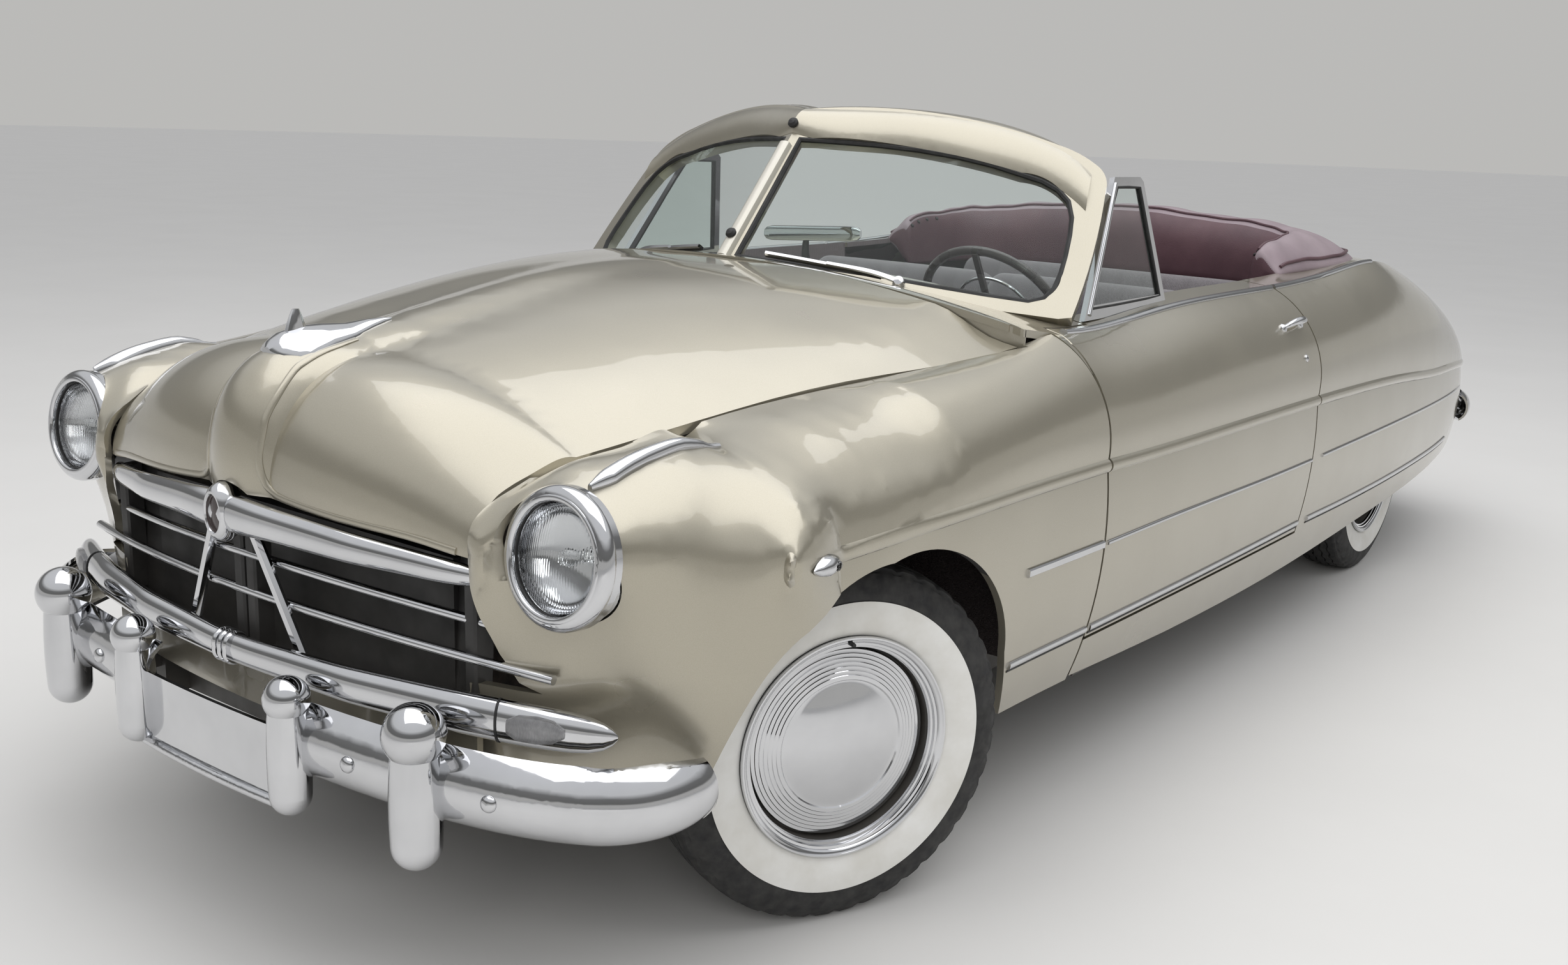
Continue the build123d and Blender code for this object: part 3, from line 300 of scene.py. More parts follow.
def placed(name, mesh, body, replaced=None):
    """Makes a mesh a piece that rides a body, in a node's stead."""
    made = bpy.data.objects.new(name, mesh)
    scene.collection.objects.link(made)
    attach(made, body)
    if replaced:
        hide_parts(replaced)
    return made


def piece_from(name, verts, faces, material, body="body", face_mats=(), more=(), replaced=None):
    """Piece from vertices and faces. face_mats are indices into the material and more."""
    mesh = bpy.data.meshes.new(name)
    mesh.from_pydata([tuple(v) for v in verts], [], faces)
    for item in (material, *more):
        mesh.materials.append(item)
    for face, index in zip(mesh.polygons, face_mats):
        face.material_index = index
    work = bmesh.new()
    work.from_mesh(mesh)
    bmesh.ops.remove_doubles(work, verts=work.verts, dist=merge_reach)
    bmesh.ops.recalc_face_normals(work, faces=work.faces)
    soften(work)
    work.to_mesh(mesh)
    work.free()
    return placed(name, mesh, body, replaced)


def stacked(rings):
    """Vertices and faces of a closed skin through rings of one count, with its two caps last."""
    count, last = len(rings[0]), len(rings) - 1
    faces = [(i * count + k, i * count + (k + 1) % count,
              (i + 1) * count + (k + 1) % count, (i + 1) * count + k)
             for i in range(last) for k in range(count)]
    faces += [tuple(range(count)), tuple(last * count + k for k in range(count - 1, -1, -1))]
    return [v for ring in rings for v in ring], faces


def lathe(name, profile, middle, axis, material, body="body", turns=96, shape=None, more=(),
          replaced=None):
    """Ring or dome turned about an axis. Rows are radius, distance along the axis, material."""
    axis = Vector(axis).normalized()
    across = axis.orthogonal().normalized()
    if abs(axis.z) < 0.9:
        across = (up - axis * axis.z).normalized()
    third = axis.cross(across)
    middle = Vector(middle)
    verts, faces, mats = [], [], []
    rows = len(profile)
    for step in range(turns):
        angle = full_turn * step / turns
        spoke = math.cos(angle) * across + math.sin(angle) * third
        here, there = step * rows, (step + 1) % turns * rows
        for index, (radius, along, *mark) in enumerate(profile):
            if shape:
                radius, along = shape(radius, along, step)
            verts.append(middle + axis * along + radius * spoke)
            nearby = (index + 1) % rows
            faces.append((here + index, here + nearby, there + nearby, there + index))
            mats.append(mark[0] if mark else 0)
    piece_from(name, verts, faces, material, body, mats, more, replaced)


def sweep(name, points, normals, section, material, body="body", sizes=None, replaced=None):
    """Strip with a closed section along a line. Section rows are sideways and outwards.
    normals is one vector, or one for each point."""
    points = [Vector(p) for p in points]
    last = len(points) - 1
    if isinstance(normals, Vector):
        normals = [normals] * len(points)
    rings = []
    for index, point in enumerate(points):
        along = (points[min(index + 1, last)] - points[max(index - 1, 0)]).normalized()
        outward = Vector(normals[index])
        outward = (outward - along * outward.dot(along)).normalized()
        sideways = along.cross(outward)
        wide, tall = sizes[index] if sizes else (1.0, 1.0)
        rings.append([point + sideways * a * wide + outward * b * tall for a, b in section])
    piece_from(name, *stacked(rings), material, body, replaced=replaced)


def half_round(width, proud, sunk=0.002):
    """Section of a moulding: a low arch with its foot just inside the surface."""
    angles = [half_turn * k / 8 for k in range(9)]
    arch = [(width / 2 * math.cos(a), proud * math.sin(a) ** 0.8) for a in angles]
    return [(width / 2, -sunk)] + arch + [(-width / 2, -sunk)]


def at(x, s, z):
    """The point at this station."""
    return Vector((x, datum + s, z))


def mirrored(*half):
    """Symmetrical section from its right-hand corners, lowest first."""
    return [*half] + [(-a, b) for a, b in half[::-1]]


def round_section(radius, steps=12):
    return [(radius * math.cos(full_turn * k / steps), radius * math.sin(full_turn * k / steps))
            for k in range(steps)]


def power_loop(half_wide, half_high, power, count=36):
    """Rounded rectangle as pairs of half widths and half heights."""
    loop = []
    for k in range(count):
        c, s = math.cos(full_turn * k / count), math.sin(full_turn * k / count)
        loop.append((half_wide * math.copysign(abs(c) ** power, c),
                     half_high * math.copysign(abs(s) ** power, s)))
    return loop


def smooth_step(t):
    t = min(max(t, 0.0), 1.0)
    return t * t * (3 - 2 * t)


def rounded(points, steps):
    """Catmull-Rom curve through points."""
    points = [Vector(p) for p in points]
    ends = [points[0] * 2 - points[1]] + points + [points[-1] * 2 - points[-2]]
    curve = []
    for a, b, c, d in zip(ends, ends[1:], ends[2:], ends[3:]):
        for k in range(steps):
            t = k / steps
            curve.append(0.5 * (2 * b + (c - a) * t + (2 * a - 5 * b + 4 * c - d) * t * t
                                + (3 * b - a - 3 * c + d) * t ** 3))
    return curve + [points[-1]]


def tree_of(mesh):
    return BVHTree.FromPolygons([v.co for v in mesh.vertices],
                                [p.vertices for p in mesh.polygons])


trees = {}


def surface(name, origin, direction):
    """Where a line first meets a node, with the surface's outward normal."""
    if name not in trees:
        trees[name] = tree_of(nodes[name].data)
    direction = Vector(direction).normalized()
    spot, normal, face, far = trees[name].ray_cast(Vector(origin), direction)
    if spot is None:
        return None, None
    return spot, -normal if normal.dot(direction) > 0 else normal


def from_side(name, sign, s, z):
    return surface(name, at(sign * side_clear, s, z), (-sign, 0, 0))


def from_above(name, x, s):
    return surface(name, at(x, s, top_clear), -up)


def line_on(name, rows, aim, steps=6):
    """Points and normals where a smooth line, seen along a direction, falls on a node."""
    hits = [surface(name, row, aim) for row in rounded(rows, steps)]
    hits = [hit for hit in hits if hit[0] is not None]
    return [spot for spot, normal in hits], [normal for spot, normal in hits]


# Wheels and tyres. Each is turned about its own axle line, with its outer side away from the car
tread_radius = 0.3552
tread_half = 0.062
tread_turns = 168
groove_deep = 0.0075
zigzag = 0.0028
notch_deep = 0.0045
wheel_offset = 0.060    # middle of a front wheel from its kingpin
rear_wheel_x = 0.705
valve_out, valve_up = 0.078, 0.207


def tyre_profile():
    """Rows of radius, distance outwards and material: 0 is black, 1 is the white band."""
    shoulder = [(0.3515, 0.0625), (0.3475, 0.0685), (0.3405, 0.0715), (0.3375, 0.0752),
                (0.326, 0.080)]
    rows = [(0.197, -0.063), (0.215, -0.0755), (0.240, -0.086), (0.275, -0.0912),
            (0.305, -0.0885)]
    rows += [(radius, -along) for radius, along in shoulder[::-1]]
    edges = (-0.062, -0.044, -0.038, -0.018, -0.012, 0.012, 0.018, 0.038, 0.044, 0.062)
    for index, along in enumerate(edges):
        crown = tread_radius - 0.0036 * (along / tread_half) ** 2
        rows.append((crown, along))
        if index % 2 == 1 and index < len(edges) - 1:
            rows.append((crown - groove_deep, along + 0.001))
            rows.append((crown - groove_deep, edges[index + 1] - 0.001))
    rows += shoulder + [
        (0.3160, 0.0840), (0.305, 0.0872), (0.296, 0.0888), (0.2900, 0.0890),
        (0.2880, 0.0908, 1), (0.272, 0.0914, 1), (0.254, 0.0900, 1), (0.240, 0.0868, 1),
        (0.229, 0.0828, 1), (0.2205, 0.0788, 1), (0.2185, 0.0760), (0.215, 0.0735),
        (0.197, 0.063)]
    return rows


def tread(radius, along, step):
    """Zigzag grooves and notched shoulders."""
    if abs(along) < 0.05 and radius > 0.34:
        along += zigzag * (1 if step % 4 < 2 else -1)
    if 0.3390 < radius < 0.3530 and abs(along) > 0.061 and step % 4 == 0:
        radius -= notch_deep
    return radius, along


def wheel_profile():
    """Rim, hub and cap from the inner side outwards: fine steps, a seam and a dome in the cap."""
    rows = [(0.034, -0.024, 1), (0.140, -0.024, 1), (0.140, 0.006, 1), (0.186, 0.006, 1),
            (0.186, -0.078, 1), (0.202, -0.078, 1), (0.202, -0.072, 1), (0.194, -0.070, 1),
            (0.194, 0.070), (0.202, 0.072), (0.204, 0.0780), (0.2192, 0.0800),
            (0.2198, 0.0845), (0.2178, 0.0880), (0.2145, 0.0880), (0.2120, 0.0855),
            (0.2100, 0.0850), (0.2070, 0.0830), (0.2050, 0.0790), (0.2005, 0.0780),
            (0.1985, 0.0725), (0.1945, 0.0712), (0.1922, 0.0660, 1), (0.1905, 0.0400, 1),
            (0.1872, 0.0400), (0.1862, 0.0480)]
    count, outer, inner, low, high = 7, 0.1852, 0.1295, 0.0505, 0.0655
    rise = (high - low) / count
    for k in range(count):
        step_outer = outer + (inner - outer) * k / count
        step_inner = outer + (inner - outer) * (k + 1) / count
        level = low + (high - low) * k / count
        rows += [(step_outer, level), (step_outer - 0.0012, level + 0.55 * rise),
                 (step_inner + 0.0028, level + 0.75 * rise)]
    rows += [(0.1290, 0.0652), (0.1262, 0.0628), (0.1225, 0.0632), (0.1160, 0.0650)]
    for k in range(1, 11):
        rest = 1 - k / 10
        rows.append((0.1160 * rest + pole * (k / 10), 0.0650 + 0.0165 * (1 - rest ** 2)))
    return rows + [(pole, 0.012, 1), (0.034, 0.012, 1)]


tyre_rows, wheel_rows = tyre_profile(), wheel_profile()
valve_rows = [(pole, 0.0), (0.0045, 0.0), (0.0045, 0.016), (0.0035, 0.020), (pole, 0.020)]
for side, sign in sides:
    turned_out = Vector((sign * math.cos(parked_steer), -sign * math.sin(parked_steer), 0))
    kingpin = Vector((sign * kingpin_x, front_axle, axle_height))
    for end, middle, outward in (
            ("front", kingpin + turned_out * wheel_offset, turned_out),
            ("rear", Vector((sign * rear_wheel_x, rear_axle, axle_height)), Vector((sign, 0, 0)))):
        body = f"{side}_{end}_wheel"
        lathe(f"tyre_{end}_{side}_treaded", tyre_rows, middle, outward, rubber, body, tread_turns,
              tread, (white_rubber,), f"tyre_{end}_{side}")
        lathe(f"wheel_{end}_{side}_stepped", wheel_rows, middle, outward, chrome, body, 128,
              more=(chassis_black,), replaced=f"wheel_{end}_{side}")
        lathe(f"valve_{end}_{side}", valve_rows, middle + outward * valve_out + up * valve_up,
              outward, gasket, body, 12)

# Headlights: fluted lens, bowl, bulb and rim
lens_x, lens_s, lens_z = 0.698, -0.658, 0.834
lens_tilt = math.radians(8.0)
lens_aim = Vector((0, -math.cos(lens_tilt), math.sin(lens_tilt)))
dome_rows = []
for k in range(15):
    rest = 1 - k / 14
    dome_rows.append((0.0895 * rest + pole, 0.0015 + 0.0185 * (1 - rest ** 2)))
lens_rows = dome_rows + [(radius, along - 0.0040) for radius, along in dome_rows[::-1]]
bowl_rows = [(0.0885 * math.sin(k / 12 * half_turn / 2) + 0.0006, -0.056 + 0.050 * (k / 12) ** 2)
             for k in range(13)]
bowl_rows += [(radius + 0.0008, along - 0.0015) for radius, along in bowl_rows[::-1]]
for side, sign in sides:
    middle = at(sign * lens_x, lens_s, lens_z)
    lathe("headlight_lens_" + side, lens_rows, middle, lens_aim, lens_glass, turns=72,
          replaced="headlight_lenses")
    lathe("headlight_bowl_" + side, bowl_rows, middle, lens_aim, chrome, turns=64)
    lathe("headlight_bulb_" + side, [
        (pole, -0.052), (0.010, -0.052), (0.011, -0.030), (0.015, -0.022), (0.012, -0.010),
        (pole, -0.006)], middle, lens_aim, lens_glass, turns=32)
    lathe("headlight_rim_" + side, [
        (0.0885, 0.0090), (0.0925, 0.0140), (0.0965, 0.0205), (0.0985, 0.0208), (0.0960, 0.0120),
        (0.0890, 0.0040)], middle, lens_aim, gasket, turns=72)


# Panel skins: packed panels with faults of their solids eased
def opened(name, longest, near=lambda co: True):
    """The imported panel's mesh for changes, with long edges cut where both ends are near."""
    work = bmesh.new()
    work.from_mesh(nodes[name].data)
    bmesh.ops.remove_doubles(work, verts=work.verts, dist=merge_reach)
    for turn in range(3):
        long_edges = [e for e in work.edges if e.calc_length() > longest
                      and near(e.verts[0].co) and near(e.verts[1].co)]
        bmesh.ops.subdivide_edges(work, edges=long_edges, cuts=1)
        bmesh.ops.triangulate(work, faces=[f for f in work.faces if len(f.verts) > 3])
    return work


def held(work, degrees):
    """Indices of vertices on open edges and on edges that fold more than this."""
    return {v.index for e in work.edges for v in e.verts
            if len(e.link_faces) != 2 or e.calc_face_angle(0.0) > math.radians(degrees)}


def even_out(work, loose, rounds):
    for turn in range(rounds):
        bmesh.ops.smooth_vert(work, verts=loose, factor=0.5, use_axis_x=True, use_axis_y=True,
                              use_axis_z=True)


def panel_skin(name, work, body, replaced, dark):
    """Makes the changed mesh a painted piece, black where dark(middle, normal) holds."""
    soften(work)
    mesh = bpy.data.meshes.new(name)
    work.to_mesh(mesh)
    work.free()
    mesh.materials.append(paint)
    mesh.materials.append(chassis_black)
    for face in mesh.polygons:
        face.material_index = int(dark(face.center, face.normal))
    placed(name, mesh, body, replaced)
    return mesh


crest_x = 0.945         # outside this the fender's crest is drawn in by the share crest_drop
crest_drop = 0.55
eased_to = 0.20         # station behind which the fender stays as packed


def ease_fender(side, sign):
    name = "front_fender_" + side
    work = opened(name, 0.028, lambda co: co.y - datum < eased_to and 0.56 < co.z)
    for vert in work.verts:
        s, out = vert.co.y - datum, sign * vert.co.x - crest_x
        if out > 0 and s < eased_to:
            vert.co.x -= sign * out * crest_drop * (1 - smooth_step((s + 0.10) / 0.30))
    pinned = held(work, 50)
    for margin in (0.0, 0.03, 0.06):
        loose = []
        for vert in work.verts:
            s, z = vert.co.y - datum, vert.co.z
            front = -0.70 < s < -0.30 - margin and z > 0.64 + margin
            crown = -0.70 < s < 0.14 - margin and z > 0.875 + margin / 2
            if vert.index not in pinned and (front or crown):
                loose.append(vert)
        even_out(work, loose, 50)

    def dark(m, n):
        inside = sign * n.x < -0.05 and sign * m.x < 0.93
        return m.y - datum > -0.60 and m.z < 0.80 and (inside or n.z < -0.75)

    trees[name] = tree_of(panel_skin("fender_skin_" + side, work, "body", name, dark))


for side, sign in sides:
    ease_fender(side, sign)


# Trim that lies on the panels. Rows along the side are station and height
def side_strip(name, node_name, rows, sign, section, material, body="body", fade=None):
    """Moulding along a side, which thins over the last share of its length given by fade."""
    origins = [at(sign * side_clear, s, z) for s, z in rows]
    points, normals = line_on(node_name, origins, (-sign, 0, 0))
    last = len(points) - 1
    sizes = None
    if fade:
        shares = [max(min((1 - k / last) / fade, 1.0), 0.05) ** 0.5 for k in range(last + 1)]
        sizes = [(share, share) for share in shares]
    return sweep(name, points, normals, section, material, body, sizes)


def top_strip(name, node_name, rows, sign, section, body="body", steps=6, sizes=None):
    """Moulding on top of a panel. Rows are distance from the middle and station."""
    origins = [at(sign * x, s, top_clear) for x, s in rows]
    points, normals = line_on(node_name, origins, -up, steps)
    return sweep(name, points, normals, section, chrome, body,
                 sizes and [sizes(k / (len(points) - 1)) for k in range(len(points))])


def spear_size(share):
    """Width and height of the fender's spear at a share of its length."""
    wide = 0.30 + 0.70 * min(1.0, 5 * share) * (1 - 0.75 * share ** 2)
    return wide, 0.30 + 0.70 * math.sin(half_turn * min(share + 0.10, 1.0)) ** 0.6


marker_s, marker_z = -0.325, 0.806
grip_z = 0.985
lock_s, lock_z = 1.928, 0.900
thin_section = half_round(0.0105, 0.0055)
plate_section = mirrored((0.009, -0.002), (0.009, 0.0035), (0.006, 0.0065))
sill_section = half_round(0.017, 0.006)
groove_section = half_round(0.006, 0.002)
groove_below = 0.0125
belt_section = half_round(0.020, 0.0075)
for side, sign in sides:
    door = side + "_door"
    fender, leaf, quarter = "front_fender_" + side, "door_" + side, "body_side_" + side
    side_strip("nameplate_bar_" + side, fender, ((0.378, 0.634), (0.545, 0.630), (0.708, 0.627)),
               sign, plate_section, chrome)
    side_strip("side_strip_door_" + side, leaf,
               ((0.729, 0.626), (1.125, 0.620), (1.700, 0.606), (2.025, 0.601)), sign,
               thin_section, chrome, door)
    side_strip("side_strip_quarter_" + side, quarter,
               ((2.039, 0.601), (2.500, 0.598), (2.900, 0.594), (3.300, 0.586), (3.650, 0.578),
                (3.960, 0.572)), sign, thin_section, chrome, fade=0.12)
    for label, node_name, body, rows in (
            ("fender", fender, "body", ((0.345, 0.433), (0.530, 0.430), (0.710, 0.427))),
            ("door", leaf, door, ((0.728, 0.427), (1.300, 0.420), (2.026, 0.414))),
            ("quarter", quarter, "body", ((2.038, 0.414), (2.450, 0.403), (2.900, 0.397),
                                          (3.400, 0.397), (3.720, 0.402)))):
        side_strip(f"sill_strip_{label}_{side}", node_name, rows, sign, sill_section, chrome, body)
        side_strip(f"sill_groove_{label}_{side}", node_name,
                   [(s, z - groove_below) for s, z in rows], sign, groove_section, gasket, body)
    top_strip("belt_strip_door_" + side, leaf,
              ((0.776, 0.800), (0.777, 1.200), (0.779, 1.650), (0.780, 2.022)), sign,
              belt_section, door)
    top_strip("belt_strip_quarter_" + side, quarter,
              ((0.780, 2.042), (0.781, 2.400), (0.780, 2.700), (0.777, 2.900)), sign, belt_section)

    # Marker lamp on the fender's crease
    spot, normal = from_side(fender, sign, marker_s, marker_z)
    along = Vector((0, 1, 0)) - normal * normal.y
    for label, reach, section, material, sizes in (
            ("lamp", (-0.044, -0.032, -0.012, 0.012, 0.032, 0.044), half_round(0.032, 0.021),
             chrome, [(0.12, 0.12), (0.65, 0.6), (1.0, 1.0), (1.0, 1.0), (0.65, 0.6),
                      (0.12, 0.12)]),
            ("glass", (0.0, 0.008, 0.020, 0.034), half_round(0.025, 0.0245),
             lens_glass, [(0.8, 0.9), (1.0, 1.0), (0.8, 0.9), (0.3, 0.5)])):
        sweep(f"marker_{label}_{side}", [spot + along * d for d in reach], normal, section,
              material, sizes=sizes)

    # Door handle: two feet, a grip and the lock below
    grip = [from_side(leaf, sign, s, grip_z)
            for s in (1.842, 1.862, 1.885, 1.910, 1.935, 1.955, 1.968)]
    stand = (0.004, 0.020, 0.030, 0.033, 0.030, 0.020, 0.004)
    sweep("door_handle_" + side, rounded([p + n * d for (p, n), d in zip(grip, stand)], 4),
          grip[3][1], round_section(0.0085), chrome, door,
          [(0.7 + 0.5 * math.sin(half_turn * k / 24), 1.0) for k in range(25)])
    for k, (spot, normal) in enumerate((grip[0], grip[-1])):
        lathe(f"handle_foot_{k}_{side}", [
            (pole, -0.002), (0.013, -0.002), (0.0125, 0.004), (0.006, 0.010), (pole, 0.010)],
              spot, normal, chrome, door, 24)
    spot, normal = from_side(leaf, sign, lock_s, lock_z)
    lathe("door_lock_" + side, [
        (pole, -0.001), (0.0105, -0.001), (0.0105, 0.002), (0.008, 0.0045), (pole, 0.0045)],
          spot, normal, chrome, door, 28)
    lathe("lock_slot_" + side, [(pole, 0.0035), (0.0028, 0.0035), (0.0028, 0.0052), (pole, 0.0052)],
          spot, normal, gasket, door, 12)

    # Spear along the crown of the fender, from above the headlight backwards
    top_strip("fender_spear_" + side, fender,
              ((0.716, -0.612), (0.718, -0.560), (0.721, -0.480), (0.725, -0.400), (0.730, -0.325)),
              sign, half_round(0.034, 0.020), steps=5, sizes=spear_size)

# Bead pressed into the hood, an arch on each side of the nose rib: place, then outward direction
bead_rows = (
    (0.0438, -0.5297, 1.0857, 0.20, -0.04, 0.98), (0.0567, -0.5770, 1.0805, 0.33, -0.05, 0.94),
    (0.0632, -0.6203, 1.0731, 0.45, -0.14, 0.88), (0.0669, -0.6544, 1.0619, 0.57, -0.26, 0.78),
    (0.0690, -0.6797, 1.0496, 0.61, -0.37, 0.70), (0.0725, -0.7180, 1.0099, 0.73, -0.52, 0.45),
    (0.0728, -0.7413, 0.9784, 0.66, -0.67, 0.34), (0.0735, -0.7491, 0.9578, 0.65, -0.71, 0.28),
    (0.0745, -0.7614, 0.9062, 0.55, -0.82, 0.12), (0.0830, -0.7596, 0.8687, 0.49, -0.87, 0.02),
    (0.1006, -0.7550, 0.8504, 0.10, -0.99, 0.0), (0.1352, -0.7547, 0.8427, 0.05, -1.0, 0.0),
    (0.2633, -0.7450, 0.8333, 0.11, -0.99, 0.0), (0.4116, -0.7193, 0.8262, 0.21, -0.98, 0.0),
    (0.5000, -0.6900, 0.8140, 0.35, -0.93, 0.0))
for side, sign in sides:
    hits = []
    for x, s, z, out_x, out_y, out_z in bead_rows:
        outward = Vector((sign * out_x, out_y, out_z))
        hits.append(surface("hood", at(sign * x, s, z) + outward * 0.05, -outward))
    hits = [hit for hit in hits if hit[0] is not None]
    steps = 3 * (len(hits) - 1)
    sweep("hood_bead_" + side, rounded([spot for spot, normal in hits], 3),
          [hits[k // 3][1] for k in range(steps + 1)], half_round(0.013, 0.0038), paint,
          "hood_panel")

# Hood skin: its rear edge is brought up to the cowl
hood_rise = 0.034       # at the sides
middle_rise = 0.022
rise_from = -0.30


def hood_lift(co):
    """How far the hood's skin rises at a point."""
    s, across = co.y - datum, abs(co.x)
    rear = 0.490 + 0.114 * (across / 0.72) ** 2
    along = smooth_step((s - rise_from) / (rear - rise_from))
    height = middle_rise + (hood_rise - middle_rise) * smooth_step(across / 0.42)
    return height * along * (1 - smooth_step((across - 0.60) / 0.14))


work = opened("hood", 0.05)
for vert in work.verts:
    vert.co.z += hood_lift(vert.co)
pinned = held(work, 35)
even_out(work, [v for v in work.verts if v.index not in pinned and v.co.y - datum > -0.42], 6)
panel_skin("hood_skin", work, "hood_panel", "hood", lambda m, n: n.z < -0.3 and m.z > 0.93)


# Painted front face of the cowl, behind the hood's rear edge
def cowl_edge(x):
    """Foremost point of the cowl's top at this distance from the middle."""
    hits = (from_above("cowl", x, 0.462 + 0.002 * k)[0] for k in range(90))
    return next((spot for spot in hits if spot is not None and spot.z > 1.06), None)


edge_spots = [cowl_edge(-0.738 + 1.476 * k / 82) for k in range(83)]
edge_spots = [spot for spot in edge_spots if spot is not None]
edge_spots = ([edge_spots[0] + Vector((-0.05, 0.02, -0.012))] + edge_spots
              + [edge_spots[-1] + Vector((0.05, 0.02, -0.012))])
face_corners = [Vector((0, back_by, -down_by)) for back_by, down_by in
                ((0.001, 0.0035), (0.001, 0.075), (0.004, 0.075), (0.004, 0.0035))]
piece_from("cowl_front_face",
           *stacked([[spot + corner for corner in face_corners] for spot in edge_spots]), paint)

# Dark sheets that close the sides of the opening behind the grille
for side, sign in sides:
    sheet_line = [at(sign * 0.478, s, z) for s, z in
                  ((-0.652, 0.440), (-0.648, 0.560), (-0.640, 0.680), (-0.632, 0.790))]
    sweep("grille_side_sheet_" + side, sheet_line, forwards,
          mirrored((0.046, -0.003), (0.046, 0.001)), chassis_black)


# Grille: bars of changing oval section, with the emblem's bare housing in the middle
def tapered_bar(name, rows, material=chrome, only=0):
    """Rows are x, station, height, half height and half depth, from the middle out to one end.
    The other half mirrors them, unless only gives the one side to build."""
    if only:
        whole = [(only * x, s, z, h, d) for x, s, z, h, d in rows]
    else:
        whole = [(-x, s, z, h, d) for x, s, z, h, d in rows[:0:-1]] + list(rows)
    dense = []
    for a, b in zip(whole, whole[1:]):
        parts = max(1, int(abs(b[0] - a[0]) / 0.02))
        for k in range(parts):
            t = k / parts
            dense.append([u * (1 - t) + v * t for u, v in zip(a, b)])
    dense.append(list(whole[-1]))
    for turn in range(2):
        dense = [dense[0]] + [[(u + 2 * v + w) / 4 for u, v, w in zip(a, b, c)]
                              for a, b, c in zip(dense, dense[1:], dense[2:])] + [dense[-1]]
    rings, last, ring = [], len(dense) - 1, round_section(1.0, 28)
    for index, (x, s, z, high, deep) in enumerate(dense):
        before, after = dense[max(index - 1, 0)], dense[min(index + 1, last)]
        along = Vector((after[0] - before[0], after[1] - before[1], 0)).normalized()
        outward = Vector((-along.y, along.x, 0))
        rings.append([at(x, s, z) + outward * deep * a + up * high * b for a, b in ring])
    piece_from(name, *stacked(rings), material, replaced="grille")


tapered_bar("grille_upper_bar", (
    (0.0, -0.784, 0.804, 0.034, 0.022), (0.06, -0.784, 0.804, 0.034, 0.022),
    (0.105, -0.781, 0.803, 0.0305, 0.020), (0.30, -0.755, 0.792, 0.0262, 0.018),
    (0.48, -0.702, 0.778, 0.0212, 0.0155), (0.528, -0.679, 0.773, 0.0180, 0.0130),
    (0.545, -0.669, 0.771, 0.0120, 0.0090), (0.551, -0.665, 0.770, 0.0030, 0.0020)))

# Emblem's housing: rows are share of its size, distance forwards and material
emblem_rows = ((0.80, -0.020, 0), (0.98, -0.004, 0), (1.0, 0.004, 0), (0.96, 0.014, 0),
               (0.86, 0.022, 0), (0.74, 0.0262, 0), (0.66, 0.0262, 0), (0.62, 0.0240, 0),
               (0.60, 0.0200, 1), (0.56, 0.0190, 1), (0.30, 0.0215, 1), (0.02, 0.0225, 1))
emblem_rings = [[at(0, -0.784, 0.804) + Vector((0.034 * share * a, -out, 0.054 * share * b))
                 for a, b in round_section(1.0, 48)] for share, out, mark in emblem_rows]
emblem_mats = [mark for share, out, mark in emblem_rows[1:] for k in range(48)] + [0, 1]
piece_from("emblem_housing", *stacked(emblem_rings), chrome, "body", emblem_mats,
           (dark_plastic,), "grille")

for label, reach, back, high, sag in (("a", 0.585, 0.097, 0.722, 0.034),
                                      ("b", 0.673, 0.099, 0.652, 0.026)):
    tapered_bar("grille_thin_bar_" + label, [
        (reach * k / 8, -0.747 + back * (k / 8) ** 2, high - sag * (k / 8) ** 2, 0.0082, 0.0092)
        for k in range(9)])
tapered_bar("grille_lower_bar", (
    (0.0, -0.788, 0.558, 0.0260, 0.0190), (0.06, -0.787, 0.558, 0.0270, 0.0195),
    (0.30, -0.768, 0.558, 0.0320, 0.0220), (0.52, -0.722, 0.556, 0.0360, 0.0240),
    (0.64, -0.684, 0.553, 0.0360, 0.0240), (0.718, -0.652, 0.551, 0.0345, 0.0225),
    (0.748, -0.637, 0.549, 0.0320, 0.0200), (0.768, -0.624, 0.548, 0.0240, 0.0140),
    (0.777, -0.616, 0.548, 0.0130, 0.0070), (0.780, -0.613, 0.548, 0.0040, 0.0030)))


def flattened(radius, along, step):
    return radius * (0.80 + 0.20 * abs(math.cos(full_turn * step / 48))), along


